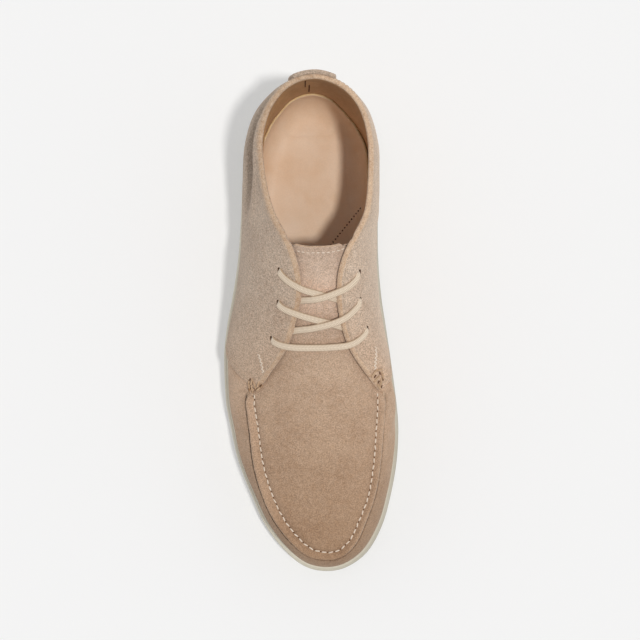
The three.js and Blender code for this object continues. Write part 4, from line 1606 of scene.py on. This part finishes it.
@dataclass
class Laces:
    """The flat cotton lace, run through the eyelets: a bar and two crossings."""

    last: Last
    shop: Workshop
    finishes: Finishes
    width: float = 4.4
    thickness: float = 1.1
    # x, y, height over the flaps' face, share of the width
    bar: Sequence[tuple[float, float, float, float]] = (
        (-23.1, -6.6, -3.0, 1.0), (-23.0, -6.7, -0.9, 1.05), (-21.6, -7.9, 0.8, 1.1),
        (-18.2, -9.9, 0.8, 1.0), (-11.8, -11.4, 0.7, 1.0), (-3.7, -12.2, -0.3, 1.0),
        (5.5, -12.4, -0.8, 1.0), (13.5, -11.8, -0.4, 1.0), (21.0, -10.6, 0.6, 1.0),
        (25.0, -9.0, 0.8, 1.0), (28.5, -6.7, 0.8, 0.95), (30.8, -4.4, 0.75, 0.8), (32.6, -2.2, 0.2, 0.62),
        (33.3, -1.4, -1.4, 0.55), (33.6, -1.0, -3.0, 0.55),
    )
    upper_left: Sequence[tuple[float, float, float, float]] = (
        (-18.5, 32.4, -3.0, 1.0), (-18.3, 32.3, -0.9, 1.05), (-17.0, 31.0, 0.8, 1.1),
        (-15.0, 28.6, 0.8, 1.0), (-12.0, 26.0, 0.8, 1.0), (-7.0, 22.9, 0.75, 1.0), (-3.1, 20.9, 0.3, 1.0),
        (0.9, 19.4, -0.5, 1.0), (5.5, 17.9, -1.2, 1.0), (11.1, 16.2, -2.1, 1.0), (15.7, 14.8, -2.9, 1.0),
        (20.5, 13.6, -3.1, 1.0), (26.0, 12.6, -3.1, 0.9),
    )
    upper_right: Sequence[tuple[float, float, float, float]] = (
        (28.5, 31.6, -3.0, 0.55), (28.1, 31.0, -1.4, 0.55), (27.4, 30.0, 0.2, 0.62),
        (26.0, 27.7, 0.75, 0.8), (23.4, 24.7, 0.8, 0.95), (19.1, 21.7, 0.8, 1.0), (15.1, 19.9, 0.8, 1.0),
        (9.4, 17.6, 0.6, 1.0), (4.0, 16.0, 0.15, 1.0), (-1.0, 14.9, -1.2, 1.0), (-6.5, 14.0, -2.8, 1.0),
        (-11.7, 13.4, -3.1, 1.0), (-16.5, 13.2, -3.1, 0.9),
    )
    lower_left: Sequence[tuple[float, float, float, float]] = (
        (-19.2, 14.0, -3.0, 1.0), (-19.0, 13.9, -0.9, 1.05), (-17.7, 12.8, 0.8, 1.1),
        (-15.4, 10.8, 0.8, 1.0), (-12.3, 9.4, 0.8, 1.0), (-6.0, 6.9, 0.6, 1.0), (2.0, 4.1, -0.5, 1.0),
        (6.6, 2.6, -1.2, 1.0), (12.3, 0.9, -2.1, 1.0), (18.6, -1.0, -2.9, 1.0), (24.0, -2.4, -3.1, 1.0),
        (30.0, -3.6, -3.1, 0.9),
    )
    lower_right: Sequence[tuple[float, float, float, float]] = (
        (29.4, 16.4, -3.0, 0.55), (29.0, 15.7, -1.4, 0.55), (28.3, 14.5, 0.2, 0.62),
        (27.0, 12.3, 0.75, 0.8), (24.3, 9.2, 0.8, 0.95), (20.9, 6.2, 0.8, 1.0), (16.9, 3.9, 0.8, 1.0),
        (12.6, 2.1, 0.65, 1.0), (8.3, 0.8, 0.3, 1.0), (3.5, -0.6, -0.5, 1.0), (-0.8, -1.7, -1.3, 1.0),
        (-5.5, -2.5, -2.2, 1.0), (-10.0, -3.2, -2.9, 1.0), (-15.8, -4.1, -3.1, 1.0),
        (-21.0, -5.2, -3.1, 0.9),
    )

    def ribbon(self, name: str, route: Sequence[tuple], nodes: Sequence[str] = ()) -> None:
        """Builds one stretch of lace.

        Args:
            name: The piece's name.
            route: Its points, as in the fields above.
            nodes: The CAD nodes that it stands for.
        """
        last = self.last
        route = np.array(route)
        knots = run_of(route[:, :3])
        steps = np.linspace(0, knots[-1], 170)
        x, y, lift, share = (column(knots, route[:, k])(steps) for k in range(4))
        normals = last.crown_normal(x, y)
        middle = np.stack([x, y, last.crown(x, y)], -1) + normals * lift[:, None]
        # Lets the lace settle into an even curve between its points.
        for _ in range(30):
            middle[1:-1] = 0.5 * middle[1:-1] + 0.25 * (middle[2:] + middle[:-2])
        forward = unit(np.gradient(middle, axis=0))
        side = unit(np.cross(forward, normals))
        up = np.cross(side, forward)
        turn = np.linspace(0, 2 * math.pi, 28, endpoint=False)
        flat_x = np.sign(np.cos(turn)) * np.abs(np.cos(turn)) ** 0.4
        flat_z = np.sign(np.sin(turn)) * np.abs(np.sin(turn)) ** 0.75
        across = self.width / 2 * share[:, None] * flat_x
        thick = self.thickness / 2 * (1 + 0.6 * (1 - share[:, None])) * flat_z
        points = middle[:, None] + side[:, None] * across[..., None] + up[:, None] * thick[..., None]
        rows, columns = points.shape[:2]
        quads = grid_faces(rows, columns, closed=True).tolist()
        ends = [list(range(columns)), list(range((rows - 1) * columns, rows * columns))[::-1]]
        self.shop.piece(
            name,
            points.reshape(-1, 3),
            quads + ends,
            [self.finishes.cotton],
            slot="lace_cotton",
            replaces=nodes,
            marks={"run": np.repeat(run_of(middle), columns), "width": across.ravel()},
        )

    def build(self) -> None:
        """Builds the bar and the four crossing stretches."""
        self.ribbon("lace_bar_run", self.bar, ("lace_bar",))
        self.ribbon("lace_lower_left", self.lower_left, ("lace_cross_lower",))
        self.ribbon("lace_lower_right", self.lower_right)
        self.ribbon("lace_upper_left", self.upper_left, ("lace_cross_upper",))
        self.ribbon("lace_upper_right", self.upper_right)


# ---- sole and footbed ----------------------------------------------------------------------


def ringed(rings: Array) -> tuple[Array, list]:
    """Closes a stack of rings round the shoe at its bottom and top.

    Args:
        rings: Points of each ring, from the bottom's to the top's.

    Returns:
        The points and the faces.
    """
    count, size = rings.shape[:2]
    half = size // 2
    faces = grid_faces(count, size, closed=True).tolist()
    for base, flip in ((0, True), ((count - 1) * size, False)):
        for k in range(half):
            a, b = base + k, base + k + 1
            c, d = base + (size - k - 1) % size, base + (size - k) % size
            face = [v for i, v in enumerate((d, c, b, a)) if v not in (d, c, b, a)[:i]]
            faces.append(face[::-1] if flip else face)
    return rings.reshape(-1, 3), faces


@dataclass
class Sole:
    """The one-piece rubber sole, with its ledge, rolled edge and tread bars."""

    last: Last
    shop: Workshop
    finishes: Finishes
    # points in each of the last's places
    per_place: int = 14
    # the tread bars' places along the shoe, as shares of its length
    bars: Sequence[float] = (0.17, 0.22, 0.27, 0.32, 0.37, 0.74, 0.79, 0.84, 0.89, 0.94)
    bar_width: float = 3.2
    bar_depth: float = 2.2
    # how much darker the rubber is painted towards the outer side, where painted light makes it paler, and
    # towards the inner one, where it is painted shade
    outer_painted_light: float = -0.24
    inner_painted_shade: float = 0.1
    # inset in mm, share of the thickness, and painted shade: darker on the rolled edge and in the crease by
    # the upper, lighter on the ledge
    edge: Sequence[tuple[float, float, float]] = (
        (3.0, 0.0, 0.2), (1.9, 0.03, 0.18), (1.1, 0.09, 0.16), (0.5, 0.18, 0.14), (0.1, 0.30, 0.12),
        (0.0, 0.45, 0.12), (0.0, 0.60, 0.12), (0.15, 0.72, 0.12), (0.5, 0.82, 0.10), (1.0, 0.89, 0.06),
        (1.5, 0.925, 0.08), (1.75, 0.93, 0.08), (1.95, 0.955, 0.0), (2.3, 0.985, -0.06), (2.9, 1.0, -0.06),
        (3.7, 1.0, 0.0), (4.6, 1.0, 0.4), (6.0, 1.0, 0.5),
    )

    def build(self) -> None:
        """Builds the sole."""
        last = self.last
        u = np.arange(last.turns * self.per_place) / self.per_place
        y = last.outline_y(u)
        rings = np.stack([
            last.on_outline(u, np.full_like(u, inset), last.tread(y) * (1 - rise) + last.ledge(y) * rise)
            for inset, rise, _ in self.edge
        ])
        points, faces = ringed(rings)
        # Painted light on the outer side, painted shade on the inner one, and each ring's painted shade.
        rubber_shade = self.outer_painted_light + (self.inner_painted_shade - self.outer_painted_light) * smooth_step(-30, 45, points[:, 0])
        rubber_shade += np.repeat([shade for *_, shade in self.edge], len(u))
        thing = self.shop.piece(
            "rubber_sole",
            points,
            faces,
            [self.finishes.rubber],
            slot="sole_rubber",
            replaces=("outsole",),
            marks={"shade": rubber_shade},
        )
        cutters = []
        for share in self.bars:
            bpy.ops.mesh.primitive_cube_add(size=1)
            bar = bpy.context.object
            bar.scale = (last.ball_width * 2 * MM, self.bar_width * MM, self.bar_depth * 2 * MM)
            bar.location = Vector((np.array([0, last.along(share), 0]) + self.shop.shift) * MM)
            bar.data.materials.append(self.finishes.rubber)
            cutters.append(bar)
        self.shop.cut(thing, cutters)


@dataclass
class Footbed:
    """The leather footbed with its raised heel cup."""

    last: Last
    shop: Workshop
    finishes: Finishes
    # points in each of the last's places
    per_place: int = 10
    thick: float = 3.0
    rim: float = 1.1
    # x, y of the ends of the stitched row
    row: Sequence[tuple[float, float]] = ((10.6, 47.6), (30.0, 71.4))
    row_pitch: float = 2.2

    def build(self) -> None:
        """Builds the footbed, its cup's inner wall a quarter ellipse, and its stitches."""
        last = self.last
        u = np.arange(last.turns * self.per_place) / self.per_place
        y = last.outline_y(u)
        side = last.step(y) + last.wall + last.pad(u)
        bottom = last.ledge(y) + last.gap
        floor, cup = bottom + self.thick, last.cup(y)
        rings = [(side, bottom), (side, floor + cup - 0.5)]
        rings += [(side + 0.4, floor + cup), (side + self.rim, floor + cup)]
        for share in np.linspace(0, 1, 9)[1:]:
            bend = share * math.pi / 2
            inset = side + self.rim + (0.6 + 0.75 * cup) * (1 - math.cos(bend)) + 1.2 * share
            rings.append((inset, floor + cup * (1 - math.sin(bend))))
        rings.append((side + self.rim + 2.6 + 0.75 * cup, floor))
        points = np.stack([last.on_outline(u, inset, z) for inset, z in rings])
        shell, faces = ringed(points)
        slots = np.zeros(len(faces), int)
        slots[len(u) : 3 * len(u)] = 1
        finishes = self.finishes
        self.stitches(BVHTree.FromPolygons(shell.tolist(), faces))
        self.shop.piece(
            "leather_footbed",
            shell,
            faces,
            [finishes.footbed, finishes.footbed_edge],
            slots,
            slot="footbed_leather",
            replaces=("insole",),
        )

    def stitches(self, surface: BVHTree) -> None:
        """Sews the short dark row at the footbed's front, on the inner side.

        Args:
            surface: The footbed's faces, in mm.
        """
        start, end = (np.array([*spot, self.last.collar_height]) for spot in self.row)
        line = start + (end - start) * np.linspace(0, 1, 40)[:, None]
        hits = [surface.ray_cast(Vector(spot), Vector((0, 0, -1)))[:2] for spot in line]
        points, normals = (np.array([list(hit[k]) for hit in hits]) for k in (0, 1))
        threads = Threads(1.0, 0.95, 0.5)
        threads.run(points + 0.05 * normals, normals, self.row_pitch)
        self.shop.sewn("footbed_stitches", threads, self.finishes.hole, "footbed_leather")


# ---- stage ---------------------------------------------------------------------------------


@dataclass
class Stage:
    """Pale floor, soft light and the camera straight above."""

    shop: Workshop
    # half the floor's side, in m
    floor_half: float = 4.0
    height: float = 1372.0
    # where the camera stands, from the middle of the shoe's length and width
    over: tuple[float, float] = (5.45, 4.0)
    lens: float = 126.0
    sky_strength: tuple[float, float] = (0.34, 0.70)
    sun_from: tuple[float, float, float] = (0.23, -0.07, 1.0)
    sun_strength: float = 1.62
    sun_angle: float = 4.5
    glow: float = 0.25

    def build(self) -> None:
        """Builds the floor, the lights and the camera."""
        scene = bpy.context.scene
        scene.view_settings.view_transform = "Standard"
        mesh = bpy.data.meshes.new("floor")
        a = self.floor_half
        mesh.from_pydata([(-a, -a, 0), (a, -a, 0), (a, a, 0), (-a, a, 0)], [], [(0, 1, 2, 3)])
        floor = bpy.data.objects.new("floor", mesh)
        scene.collection.objects.link(floor)
        floor.data.materials.append(self.paper())
        self.sky(scene)
        self.sun()
        data = bpy.data.cameras.new("camera")
        data.lens, data.sensor_width = self.lens, 36.0
        data.clip_end = 20.0
        camera = bpy.data.objects.new("camera", data)
        scene.collection.objects.link(camera)
        camera.location = Vector((np.array([*self.over, self.height]) + self.shop.shift) * MM)
        scene.camera = camera

    def paper(self) -> bpy.types.Material:
        """Makes white paper lit from below, as on a light table: even, with pale shadows.

        Returns:
            The Blender material.
        """
        material = bpy.data.materials.new("backlit_paper")
        material.use_nodes = True
        tree = material.node_tree
        tree.nodes.clear()
        shader = add_node(
            tree,
            "ShaderNodeBsdfPrincipled",
            Base_Color=linear("#d3d3d3"),
            Roughness=1.0,
            Specular_IOR_Level=0.0,
            Emission_Color=linear("#ffffff"),
            Emission_Strength=self.glow,
        )
        add_node(tree, "ShaderNodeOutputMaterial", Surface=shader.outputs[0])
        return material

    def sky(self, scene: bpy.types.Scene) -> None:
        """Lights the room evenly, a little brighter from the heel's side.

        Args:
            scene: The scene.
        """
        world = bpy.data.worlds.new("studio")
        scene.world = world
        world.use_nodes = True
        tree = world.node_tree
        tree.nodes.clear()
        way = add_node(tree, "ShaderNodeTexCoord").outputs["Generated"]
        y = add_node(tree, "ShaderNodeSeparateXYZ", n0=way).outputs[1]
        low, high = self.sky_strength
        span = {"From_Min": -1.0, "From_Max": 1.0, "To_Min": low, "To_Max": high}
        strength = add_node(tree, "ShaderNodeMapRange", n0=y, **span).outputs[0]
        tint = (0.985, 0.997, 1.015, 1)
        background = add_node(tree, "ShaderNodeBackground", Color=tint, Strength=strength)
        add_node(tree, "ShaderNodeOutputWorld", Surface=background.outputs[0])

    def sun(self) -> None:
        """Adds the key light, high on the shoe's inner side."""
        data = bpy.data.lights.new("key", "SUN")
        data.energy, data.angle = self.sun_strength, math.radians(self.sun_angle)
        data.color = (1.0, 0.985, 0.96)
        light = bpy.data.objects.new("key", data)
        light.rotation_euler = (-Vector(self.sun_from)).to_track_quat("-Z", "Y").to_euler()
        bpy.context.scene.collection.objects.link(light)


def main() -> None:
    """Builds the shoe round the frame."""
    logging.basicConfig(level=logging.INFO, format="%(name)s %(message)s")
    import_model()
    last = Last()
    low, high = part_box("outsole")
    middle = (np.array(low) + np.array(high)) / 2 / MM
    u = np.linspace(0, last.turns, 1000)
    centre_x = (last.outline_x(u).min() + last.outline_x(u).max()) / 2
    shop = Workshop(last, np.array([middle[0] - centre_x, middle[1], low.z / MM]))
    Stage(shop).build()
    finishes = Finishes()
    Sole(last, shop, finishes).build()
    Footbed(last, shop, finishes).build()
    Upper(last, shop, finishes).build()
    Apron(last, shop, finishes).build()
    Laces(last, shop, finishes).build()


if __name__ == "__main__":
    main()
